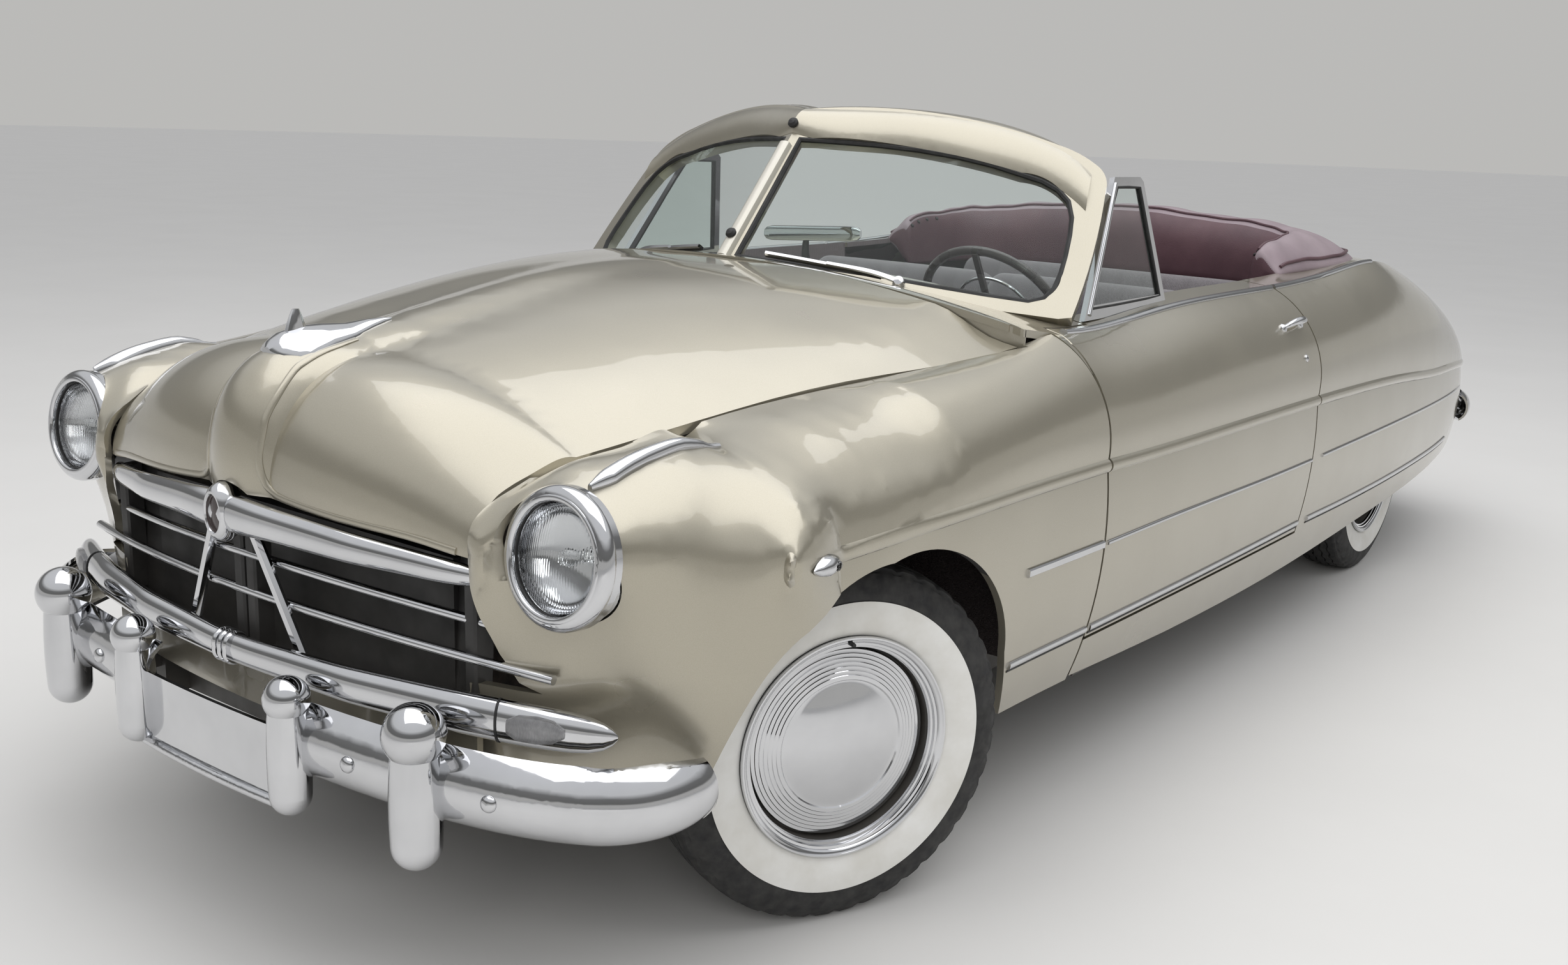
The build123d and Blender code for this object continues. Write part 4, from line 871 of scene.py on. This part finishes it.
collar_rows = [(0.0285 + 0.0035 * math.sin(half_turn * k / 6), -0.0055 + 0.011 * k / 6)
               for k in range(7)] + [(0.020, 0.0055), (0.020, -0.0055)]
for k, x in enumerate((-0.016, 0.0, 0.016)):
    lathe(f"grille_collar_{k}", collar_rows, at(x, -0.788, 0.558), (1, 0, 0), chrome,
          turns=48, shape=flattened, replaced="grille")
for side, sign in sides:
    strut_line = [at(sign * (0.058 + 0.104 * t), -0.768 + 0.016 * t, 0.775 - 0.205 * t)
                  for t in (0.0, 0.33, 0.66, 1.0)]
    sweep("grille_strut_" + side, strut_line, forwards,
          mirrored((0.0085, -0.006), (0.0095, 0.0), (0.006, 0.0075)), chrome, replaced="grille")
    for label, x, s in (("inner", 0.018, -0.735), ("outer", 0.515, -0.665)):
        post_line = [at(sign * x, s, z) for z in (0.530, 0.620, 0.710, 0.785)]
        sweep(f"grille_post_{label}_{side}", post_line, forwards,
              mirrored((0.014, -0.018), (0.014, 0.014), (0.010, 0.018)), chassis_black,
              replaced="grille")
    # Seam of the end cap and the parking lamp in it
    tapered_bar("grille_cap_seam_" + side, (
        (0.600, -0.698, 0.554, 0.0372, 0.0252), (0.603, -0.6965, 0.554, 0.0372, 0.0252)),
                gasket, sign)
    lamp_line = [at(sign * x, s, 0.556) for x, s in
                 ((0.632, -0.7110), (0.650, -0.7060), (0.680, -0.6940), (0.705, -0.6820),
                  (0.722, -0.6730))]
    sweep("parking_lens_" + side, lamp_line, Vector((sign * 0.40, -0.91, 0.05)),
          half_round(0.044, 0.0085, 0.008), parking_glass,
          sizes=[(0.55, 0.5), (0.95, 1.0), (1.0, 1.0), (0.85, 1.0), (0.35, 0.5)])

# Hood ornament: a swept wedge over the rib with an upright fin
wedge_rings = []
for s, wide, high in ((-0.686, 0.012, 0.010), (-0.676, 0.036, 0.017), (-0.655, 0.056, 0.022),
                      (-0.620, 0.060, 0.025), (-0.575, 0.050, 0.024), (-0.520, 0.034, 0.019),
                      (-0.470, 0.018, 0.013), (-0.435, 0.008, 0.008), (-0.415, 0.002, 0.003)):
    ring = []
    for k in range(13):
        angle = half_turn * k / 12
        spot, normal = from_above("hood", wide * math.cos(angle), s)
        sunk = 0.003 if k in (0, 12) else 0.0
        ring.append(spot + Vector((0, 0, high * math.sin(angle) ** 1.6)) - Vector((0, 0, sunk)))
    wedge_rings.append(ring)
piece_from("ornament_wedge", *stacked(wedge_rings), chrome, "hood_panel")
fin_foot = from_above("hood", 0.0, -0.628)[0]
fin_rings = []
for z, front, rear, wide in ((0.014, -0.022, 0.028, 0.0105), (0.030, -0.016, 0.022, 0.0090),
                             (0.046, -0.009, 0.016, 0.0070), (0.057, -0.003, 0.011, 0.0045)):
    middle, reach = (front + rear) / 2, (rear - front) / 2
    fin_rings.append([fin_foot + Vector((wide * b, middle + reach * a, z))
                      for a, b in round_section(1.0, 12)])
piece_from("ornament_fin", *stacked(fin_rings), chrome, "hood_panel")

# Windshield: rubber seal round each pane, strip on the middle post, knobs and wipers
post_foot = at(0, 0.551, 1.151)
pane_across = (at(0.679, 0.858, 1.102) - post_foot).normalized()
pane_normal = pane_across.cross(at(0, 0.813, 1.446) - post_foot).normalized()
pane_up = pane_normal.cross(pane_across)


def on_pane(sign, across, height, out):
    spot = post_foot + pane_across * across + pane_up * height + pane_normal * out
    return Vector((sign * spot.x, spot.y, spot.z))


seal_line = (
    (0.030, 0.027), (0.050, 0.115), (0.070, 0.205), (0.090, 0.297), (0.108, 0.380),
    (0.200, 0.3855), (0.300, 0.3885), (0.400, 0.387), (0.500, 0.3790), (0.585, 0.3655),
    (0.650, 0.349), (0.705, 0.3355), (0.745, 0.3150), (0.774, 0.285), (0.788, 0.240),
    (0.7905, 0.190), (0.789, 0.135), (0.785, 0.087), (0.776, 0.045), (0.757, 0.016),
    (0.723, 0.002), (0.620, 0.0045), (0.500, 0.0105), (0.380, 0.018), (0.260, 0.0215),
    (0.140, 0.0245), (0.030, 0.027))
for side, sign in sides:
    pane_out = Vector((sign * pane_normal.x, pane_normal.y, pane_normal.z))
    sweep("pane_seal_" + side, [on_pane(sign, a, u, 0.004) for a, u in seal_line], pane_out,
          [(-0.006, -0.004), (0.006, -0.004), (0.007, 0.004), (0.002, 0.0075), (-0.004, 0.0065)],
          gasket)
    # Wiper: pivot, arm and blade lying near the foot of the pane
    pivot = on_pane(sign, 0.428, -0.006, 0.040)
    lathe("wiper_pivot_" + side, [
        (pole, -0.026), (0.015, -0.026), (0.0145, -0.004), (0.011, 0.005), (pole, 0.008)],
          pivot, pane_out, chrome, turns=28)
    arm = rounded([pivot, on_pane(sign, 0.360, 0.006, 0.046),
                   on_pane(sign, 0.255, 0.018, 0.040)], 5)
    sweep("wiper_arm_" + side, arm, pane_out, mirrored((0.0065, -0.002), (0.0055, 0.0035)),
          chrome, sizes=[(1.0 - 0.35 * k / (len(arm) - 1), 1.0) for k in range(len(arm))])
    blade = [on_pane(sign, 0.105 + 0.28 * k / 8, 0.030 - 0.022 * k / 8,
                     0.032 + 0.003 * math.sin(half_turn * k / 8)) for k in range(9)]
    sweep("wiper_blade_" + side, blade, pane_out, mirrored((0.004, -0.011), (0.0045, -0.002)),
          gasket)
    sweep("wiper_spine_" + side, blade, pane_out, mirrored((0.0045, -0.0025), (0.0035, 0.005)),
          chrome)
post_out = Vector((0, -0.747, 0.664))


def on_post(share, out):
    return at(0, 0.551 + 0.262 * share, 1.151 + 0.295 * share) + post_out * out


# The strip is in the paler copy of the paint, a painted sky reflection
sweep("post_strip", [on_post(share, 0.016) for share in (0.05, 0.3, 0.6, 0.93)], post_out,
      half_round(0.030, 0.008, 0.014), sky_lit_paint)
for k, share in enumerate((0.20, 1.07)):
    lathe(f"post_knob_{k}", [
        (pole, -0.010), (0.006, -0.010), (0.0125, 0.000), (0.0135, 0.006), (0.009, 0.012),
        (pole, 0.014)], on_post(share, 0.022), post_out, gasket, turns=28)


# Faces of CAD nodes that take a second material
def tint(node_name, material, rule):
    """Gives a material to the faces of a node for which rule(middle, normal) holds."""
    mesh = nodes[node_name].data
    mesh.materials.append(material)
    for face in mesh.polygons:
        if rule(face.center, face.normal):
            face.material_index = len(mesh.materials) - 1


belt_z = 1.074
vent_x = 0.732          # middle of the vent window's pane at the belt
vent_lean = 55.0 / 294.0
vent_line = ((1.012, 1.088), (1.060, 1.158), (1.110, 1.232), (1.160, 1.308), (1.201, 1.359),
             (1.260, 1.3585), (1.324, 1.356), (1.344, 1.270), (1.364, 1.180), (1.3835, 1.092),
             (1.300, 1.0895), (1.150, 1.088), (1.012, 1.088))
vent_front_line = ((0.995, 1.075), (1.060, 1.168), (1.130, 1.272), (1.192, 1.368))


def on_vent(sign, s, z, out):
    return Vector((sign * (vent_x - vent_lean * (z - belt_z) + out), datum + s, z))


def dress_doors(side, sign):
    """Panes, cards and dark wheelhouses as tints, and the vent window's rubber channel."""
    def in_pane(m, n):
        return abs(sign * m.x - vent_x + vent_lean * (m.z - belt_z)) < 0.0035 and abs(n.x) > 0.9

    def inner(m, n):
        return sign * n.x < -0.35 and m.z > 0.40

    quarter = "body_side_" + side
    tint("vent_window_" + side, glass, in_pane)
    tint("door_" + side, door_card, inner)
    tint(quarter, door_card, lambda m, n: inner(m, n) and m.z > 0.45 and m.y - datum < 2.6)
    tint(quarter, chassis_black, lambda m, n: n.z < -0.8 or (
        sign * n.x < -0.15 and m.z < 0.76 and m.y - datum > 2.55))
    vent_out = Vector((sign, 0, vent_lean)).normalized()
    for label, out, facing in (("outer", 0.0045, 1), ("inner", -0.0045, -1)):
        sweep(f"vent_seal_{label}_{side}", [on_vent(sign, s, z, out) for s, z in vent_line],
              vent_out * facing, mirrored((0.0035, -0.003), (0.0035, 0.002), (0.0015, 0.0042)),
              gasket, side + "_door")
    sweep("vent_front_bead_" + side, [on_vent(sign, s, z, 0.0075) for s, z in vent_front_line],
          vent_out, half_round(0.011, 0.004, 0.001), chrome, side + "_door")


for side, sign in sides:
    dress_doors(side, sign)
tint("floor_tub", carpet, lambda m, n: m.y - datum < 2.7 and m.z > 0.28
     and (n.z > 0.3 or abs(n.y) > 0.5))
tint("dashboard", dark_plastic, lambda m, n: n.z > 0.75 and m.z < 1.06)
tint("front_valance", chassis_black, lambda m, n: n.y > 0.3)


# Soft pieces are closed skins drawn in code and pulled in by sines at their seams
def padded_skin(name, rings, material, replaced, more=(), face_mats=()):
    piece = piece_from(name, *stacked(rings), material, "body", face_mats, more, replaced)
    for edge in piece.data.edges:
        edge.use_edge_sharp = False
    smooth = piece.modifiers.new("smooth", "SUBSURF")
    smooth.levels = smooth.render_levels = 1


crown_high = 0.012
seam_deep = 0.0095
edge_roll = 0.05        # length over which a cushion rounds off at each end


def cushion(name, x0, x1, s, z, deep, high, lean, channels, face, replaced):
    """Padded block between x0 and x1. face is +1 for channels on top, -1 for channels in front."""
    lean = math.radians(lean)
    middle = at(0, s, z)
    back_dir = Vector((0, math.cos(lean), -math.sin(lean)))
    up_dir = Vector((0, math.sin(lean), math.cos(lean)))
    rings = []
    for i in range(8 * channels + 1):
        share = i / (8 * channels)
        end = min(min(share, 1 - share) * (x1 - x0) / edge_roll, 1.0)
        round_off = 0.72 + 0.28 * (1 - (1 - end) ** 2) ** 0.5
        seam = seam_deep * (1 - abs(math.sin(half_turn * share * channels)) ** 0.55)
        swell = crown_high * math.sin(half_turn * share) ** 0.5 - seam
        ring = []
        for d, h in power_loop(deep / 2 * round_off, high / 2 * round_off, 0.42):
            if face > 0 and h > 0:
                h += swell * (1 - (d / (deep / 2)) ** 4)
            if face < 0 and d < 0:
                d -= swell * (1 - (h / (high / 2)) ** 4)
                h += 0.004 * math.sin(half_turn * share) * (h / high)
            ring.append(Vector((x0 + (x1 - x0) * share, 0, 0)) + middle + back_dir * d + up_dir * h)
        rings.append(ring)
    padded_skin(name, rings, seat_cloth, replaced)


# Front bench: cushion, a backrest in two halves and the plinth under them; then the rear bench
cushion("front_cushion", -0.632, 0.632, 1.515, 0.545, 0.345, 0.170, 0.0, 16, 1, "front_seat")
for label, x0, x1 in (("right", -0.634, -0.006), ("left", 0.006, 0.634)):
    cushion("front_backrest_" + label, x0, x1, 1.800, 0.850, 0.155, 0.420, 9.5, 7, -1,
            "front_seat")
plinth_corners = ((-0.56, 1.41), (0.56, 1.41), (0.56, 1.81), (-0.56, 1.81))
plinth_rings = []
for z, inset in ((0.300, 0.0), (0.440, 0.0), (0.470, 0.012)):
    ring = []
    for (xa, sa), (xb, sb) in zip(plinth_corners, plinth_corners[1:] + plinth_corners[:1]):
        for k in range(10):
            x, s = xa + (xb - xa) * k / 10, sa + (sb - sa) * k / 10
            shift = inset * (0.5 if s < 1.6 else -0.5)
            ring.append(Vector((x * (1 - inset), datum + s + shift, z)))
    plinth_rings.append(ring)
piece_from("front_seat_plinth", *stacked(plinth_rings), carpet, replaced="front_seat")
cushion("rear_cushion", -0.552, 0.552, 2.400, 0.625, 0.300, 0.125, 0.0, 14, 1, "rear_seat")
cushion("rear_backrest", -0.552, 0.552, 2.588, 0.830, 0.130, 0.385, 9.0, 14, -1, "rear_seat")

# Folded top under its boot. Columns: inner edge x and station, outer edge x and station, height
# of the crest, height of the outer edge
boot_rows = (
    (0.612, 2.300, 0.704, 2.296, 1.150, 1.088), (0.604, 2.370, 0.718, 2.370, 1.170, 1.092),
    (0.596, 2.480, 0.736, 2.510, 1.180, 1.094), (0.582, 2.580, 0.750, 2.680, 1.186, 1.095),
    (0.545, 2.640, 0.747, 2.848, 1.192, 1.094), (0.480, 2.675, 0.698, 2.968, 1.200, 1.093),
    (0.390, 2.692, 0.558, 3.025, 1.210, 1.095), (0.270, 2.702, 0.384, 3.051, 1.219, 1.102),
    (0.140, 2.708, 0.200, 3.061, 1.228, 1.107), (0.000, 2.710, 0.000, 3.064, 1.232, 1.110))
boot_low = 1.050
boot_inner_low = 0.985
boot_section = 30       # points round the boot: inner face, then from 6 the top, from 24 the edge
top_from, edge_from = 6, 24


def boot_point(index, k, crest, edge, close):
    """Share of the way from the inner to the outer edge, and height, of one point."""
    drop = crest - edge
    if k < top_from:
        share = -0.035 * math.sin(half_turn * k / 6)
        z = boot_inner_low + (crest - 0.45 * drop - boot_inner_low) * k / 6
    elif k < edge_from:
        t = (k - top_from) / 18
        share = 0.02 + 0.98 * t ** 1.15
        if t < 0.28:
            z = crest - 0.45 * drop * (1 - t / 0.28) ** 2
        else:
            z = crest - drop * ((t - 0.28) / 0.72) ** 1.7
    else:
        share = 1.0 - (k - 24) / 12
        z = edge - (edge - boot_low) * (k - 23) / 7
    z = boot_low + (z - boot_low) * close
    if top_from <= k < edge_from:
        z += 0.0028 * math.sin(index * 0.9 + 5.0 * share) * math.sin(half_turn * min(share, 1))
        z += 0.0035 * math.sin(index * 0.37 + 1.3) * math.sin(full_turn * min(share, 1))
    return share, z


boot_whole = boot_rows + tuple((-r[0], r[1], -r[2], *r[3:]) for r in boot_rows[-2::-1])
boot_inner = rounded([(r[0], r[1], r[4]) for r in boot_whole], 6)
boot_outer = rounded([(r[2], r[3], r[5]) for r in boot_whole], 6)
last = len(boot_inner) - 1
boot_rings = []
for index, (inner, outer) in enumerate(zip(boot_inner, boot_outer)):
    from_end = min(index, last - index)
    close = 1.0 if from_end > 7 else 0.80 + 0.20 * (1 - (1 - from_end / 7) ** 2) ** 0.5
    a, b = (at(edge.x, edge.y, 0) for edge in (inner, outer))
    points = [boot_point(index, k, inner.z, outer.z, close) for k in range(boot_section)]
    boot_rings.append([a + (b - a) * share + Vector((0, 0, z)) for share, z in points])
# Lit and shaded copies of the one cloth: the top takes the paler copy as painted light, the inner
# face and the edge the darker maroon as painted shade
boot_lit_and_shaded_mats = [int(k < 8 or k == boot_section - 1) for k in range(boot_section)] * last + [1, 1]
padded_skin("top_boot_cover", boot_rings, boot_lit_cloth, "top_boot", (maroon,), boot_lit_and_shaded_mats)
for label, row, radius, lift in (("crest", 9, 0.0042, 0.002), ("belt", 22, 0.0055, 0.004)):
    sweep("boot_welt_" + label, [ring[row] + up * lift for ring in boot_rings[2:-2]], up,
          round_section(radius, 8), maroon)
for side, rings in (("left", boot_rings[2:14]), ("right", boot_rings[-3:-15:-1])):
    for k, ring in enumerate(rings[::3]):
        toward = ring[7] - ring[9]
        toward.z = 0
        lathe(f"boot_snap_{k}_{side}", [
            (pole, 0.0), (0.0070, 0.0), (0.0062, 0.0032), (0.0035, 0.0046), (pole, 0.0048)],
              ring[7], toward.normalized() + up, gasket, turns=20)

# Rear-view mirror on its stalk above the dashboard
mirror_spot = at(0.0, 0.905, 1.212)
mirror_rings = [[mirror_spot + Vector((x, d, h + 0.06 * x))
                 for d, h in power_loop(0.010 * grow, 0.019 * grow, 0.6, 20)]
                for x, grow in ((-0.150, 0.45), (-0.142, 0.8), (-0.125, 1.0), (0.0, 1.0),
                                (0.125, 1.0), (0.142, 0.8), (0.150, 0.45))]
piece_from("mirror_shell", *stacked(mirror_rings), chrome)
stalk = rounded([at(-0.03, 0.928, 1.124), at(-0.028, 0.918, 1.165),
                 mirror_spot + Vector((-0.02, 0.006, 0.0))], 4)
shrink = [1.0 - 0.5 * k / (len(stalk) - 1) for k in range(len(stalk))]
sweep("mirror_stalk", stalk, Vector((1, 0, 0)), round_section(0.013), gasket,
      sizes=[(size, size) for size in shrink])

# Hand wheel: horn ring, button and arms
hand_middle = at(0.285, 1.350, 1.000)
hand_lean = math.radians(32.0)
hand_axis = Vector((0, math.cos(hand_lean), math.sin(hand_lean)))
lathe("horn_ring", [(0.110 + a, 0.010 + b) for a, b in round_section(0.0042, 10)],
      hand_middle, hand_axis, chrome, "hand_wheel", 72)
lathe("horn_button", [
    (pole, -0.004), (0.030, -0.004), (0.0305, 0.006), (0.026, 0.014), (0.015, 0.019),
    (pole, 0.0205)], hand_middle, hand_axis, chrome, "hand_wheel", 48)
for k, sign in enumerate((-1, 1)):
    start = hand_middle + hand_axis * 0.006 + Vector((sign * 0.028, 0, 0))
    end = hand_middle + hand_axis * 0.010 + Vector((sign * 0.110, 0, 0))
    sweep(f"horn_arm_{k}", [start, (start + end) / 2, end], hand_axis,
          mirrored((0.005, -0.002), (0.005, 0.002)), chrome, "hand_wheel")


# Dashboard: instrument faces with bezels, knobs and a bright strip
def on_dash(x, z):
    return surface("dashboard", at(x, 1.5, z), forwards)


dial_z, knob_z, strip_z = 0.985, 0.93, 1.035
for label, x, radius in (("speed", 0.285, 0.062), ("fuel", 0.405, 0.034), ("heat", 0.165, 0.034),
                         ("clock", -0.38, 0.036)):
    spot, normal = on_dash(x, dial_z)
    lathe("dial_" + label, [
        (pole, -0.004), (radius - 0.002, -0.004), (radius - 0.003, 0.0015), (pole, 0.002)],
          spot, normal, dial_face, turns=64)
    lathe("dial_rim_" + label, [
        (radius - 0.005, -0.003), (radius + 0.002, -0.003), (radius + 0.001, 0.006),
        (radius - 0.003, 0.008), (radius - 0.005, 0.004)], spot, normal, chrome, turns=64)
for k, x in enumerate((0.05, -0.02, -0.09, -0.16, 0.50)):
    lathe(f"dash_knob_{k}", [
        (pole, -0.002), (0.005, -0.002), (0.005, 0.010), (0.0125, 0.013), (0.0135, 0.021),
        (0.010, 0.026), (pole, 0.0265)], *on_dash(x, knob_z), dark_plastic, turns=28)
strip_line = [at(x, 1.5, strip_z) for x in (-0.63, -0.3, 0.0, 0.3, 0.63)]
sweep("dash_strip", *line_on("dashboard", strip_line, forwards), half_round(0.012, 0.004), chrome)

# Domed bolts on the bumpers' faces
bolt_z = 0.455
for bumper, start, aim in (("front_bumper", -end_clear, 1.0), ("rear_bumper", end_clear, -1.0)):
    for k, x in enumerate((-0.66, -0.38, 0.38, 0.66)):
        lathe(f"{bumper}_bolt_{k}", [
            (pole, -0.002), (0.0145, -0.002), (0.0140, 0.002), (0.0115, 0.0055),
            (0.0065, 0.0080), (pole, 0.0088)],
              *surface(bumper, (x, start, bolt_z), (0, aim, 0)), chrome, turns=28)

# Tail: lamp bezels, blank plate on its tray and the lid's handle
lamp_low, lamp_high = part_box("tail_lamps")
lamp_x, lamp_z = abs(lamp_high[0]) - 0.050, (lamp_low[2] + lamp_high[2]) / 2
for side, sign in sides:
    spot, normal = surface("tail_lamps", (sign * lamp_x, end_clear, lamp_z), forwards)
    lathe("tail_bezel_" + side, [
        (0.047, -0.034), (0.0565, -0.034), (0.0590, -0.024), (0.0560, -0.012), (0.0515, -0.008),
        (0.0485, -0.014)], spot, -forwards, chrome, turns=64)
    lathe("tail_ring_" + side, [
        (0.024, -0.008), (0.028, -0.008), (0.0285, -0.003), (0.026, 0.0005), (0.0235, -0.003)],
          spot, -forwards, chrome, turns=48)

plate_z, lid_handle_z = 0.70, 0.815
plate_spot, lid_out = surface("trunk_lid", (0.0, end_clear, plate_z), forwards)
plate_up = (up - lid_out * lid_out.z).normalized()
for name, wide, high, low_out, high_out, material in (
        ("plate_blank", 0.150, 0.075, 0.006, 0.009, plate_paint),
        ("plate_tray", 0.158, 0.083, -0.004, 0.007, chrome)):
    rings = [[plate_spot + Vector((d, 0, 0)) + plate_up * h + lid_out * out
              for d, h in power_loop(wide * grow, high * grow, 0.16, 40)]
             for out, grow in ((low_out, 1.0), (high_out - 0.001, 1.0), (high_out, 0.985))]
    piece_from(name, *stacked(rings), material, "trunk_panel")
points, normals = [], []
for x in (-0.090, -0.060, -0.030, 0.0, 0.030, 0.060, 0.090):
    spot, normal = surface("trunk_lid", (x, end_clear, lid_handle_z), forwards)
    points.append(spot + normal * (0.012 + 0.012 * math.cos(half_turn * x / 0.18)))
    normals.append(normal)
sweep("lid_handle", points, normals, half_round(0.034, 0.016, 0.030), chrome, "trunk_panel",
      [(0.5, 0.6), (0.85, 0.9), (1, 1), (1, 1), (1, 1), (0.85, 0.9), (0.5, 0.6)])

# Floor, world, lights and camera
floor_paint = finish("studio_floor", (0.74, 0.73, 0.71),
                     (1.2, (0.73, 0.72, 0.70), (0.75, 0.74, 0.72)), rough=0.6)
bpy.ops.mesh.primitive_circle_add(vertices=96, radius=60.0, fill_type="NGON",
                                  location=(0, 0, 0))
floor = bpy.context.object
floor.name = "studio_floor"
floor.data.materials.append(floor_paint)
floor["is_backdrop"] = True

# One gradient for the camera, the metal and the glass: pale horizon, dark band, bright top
world = bpy.data.worlds.new("studio")
scene.world = world
world.use_nodes = True
sky = world.node_tree.nodes
ray = sky.new("ShaderNodeTexCoord")
split = sky.new("ShaderNodeSeparateXYZ")
ramp = sky.new("ShaderNodeValToRGB")
link(world, ray, "Generated", split, "Vector")
link(world, split, "Z", ramp, "Fac")
link(world, ramp, "Color", sky["Background"], "Color")
sky["Background"].inputs["Strength"].default_value = 0.8
stops = ramp.color_ramp.elements
stops[0].position, stops[0].color = 0.0, (0.62, 0.615, 0.60, 1)
stops[1].position, stops[1].color = 1.0, (0.95, 0.96, 1.0, 1)
for height, tone in ((0.11, (0.62, 0.615, 0.60, 1)), (0.16, (0.20, 0.20, 0.195, 1)),
                     (0.34, (0.24, 0.24, 0.24, 1)), (0.52, (0.85, 0.86, 0.87, 1))):
    stops.new(height).color = tone


def soft_light(name, place, target, size, power):
    lamp = bpy.data.lights.new(name, "AREA")
    lamp.shape, lamp.size, lamp.energy = "SQUARE", size, power
    holder = bpy.data.objects.new(name, lamp)
    holder.location = place
    holder.rotation_euler = (Vector(target) - Vector(place)).to_track_quat("-Z", "Y").to_euler()
    scene.collection.objects.link(holder)
    return holder


soft_light("overhead_softbox", (0.5, -0.5, 7.0), (0, 0, 0.5), 9.0, 330.0)
front_light = soft_light("front_softbox", (5.5, -7.5, 4.5), (0, -1.0, 0.7), 4.0, 170.0)
front_light.visible_glossy = False

# Camera fitted to the photograph
azimuth, elevation, roll = (math.radians(a) for a in (37.2, 13.6, 1.9))
back = Vector((math.sin(azimuth) * math.cos(elevation), -math.cos(azimuth) * math.cos(elevation),
               math.sin(elevation)))
level = (-back).cross(up).normalized()
above = level.cross(-back)
camera_axes = (math.cos(roll) * level + math.sin(roll) * above,
               -math.sin(roll) * level + math.cos(roll) * above, back)
camera_data = bpy.data.cameras.new("view")
camera_data.sensor_width = 36.0
camera_data.lens = 35.575
camera = bpy.data.objects.new("view", camera_data)
place = Matrix.Identity(4)
for column, axis in enumerate(camera_axes):
    for row in range(3):
        place[row][column] = axis[row]
place.translation = Vector((2.3493, -4.0371, 1.5187))
camera.matrix_world = place
scene.collection.objects.link(camera)
scene.camera = camera
scene.view_settings.view_transform = "Standard"

low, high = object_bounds()
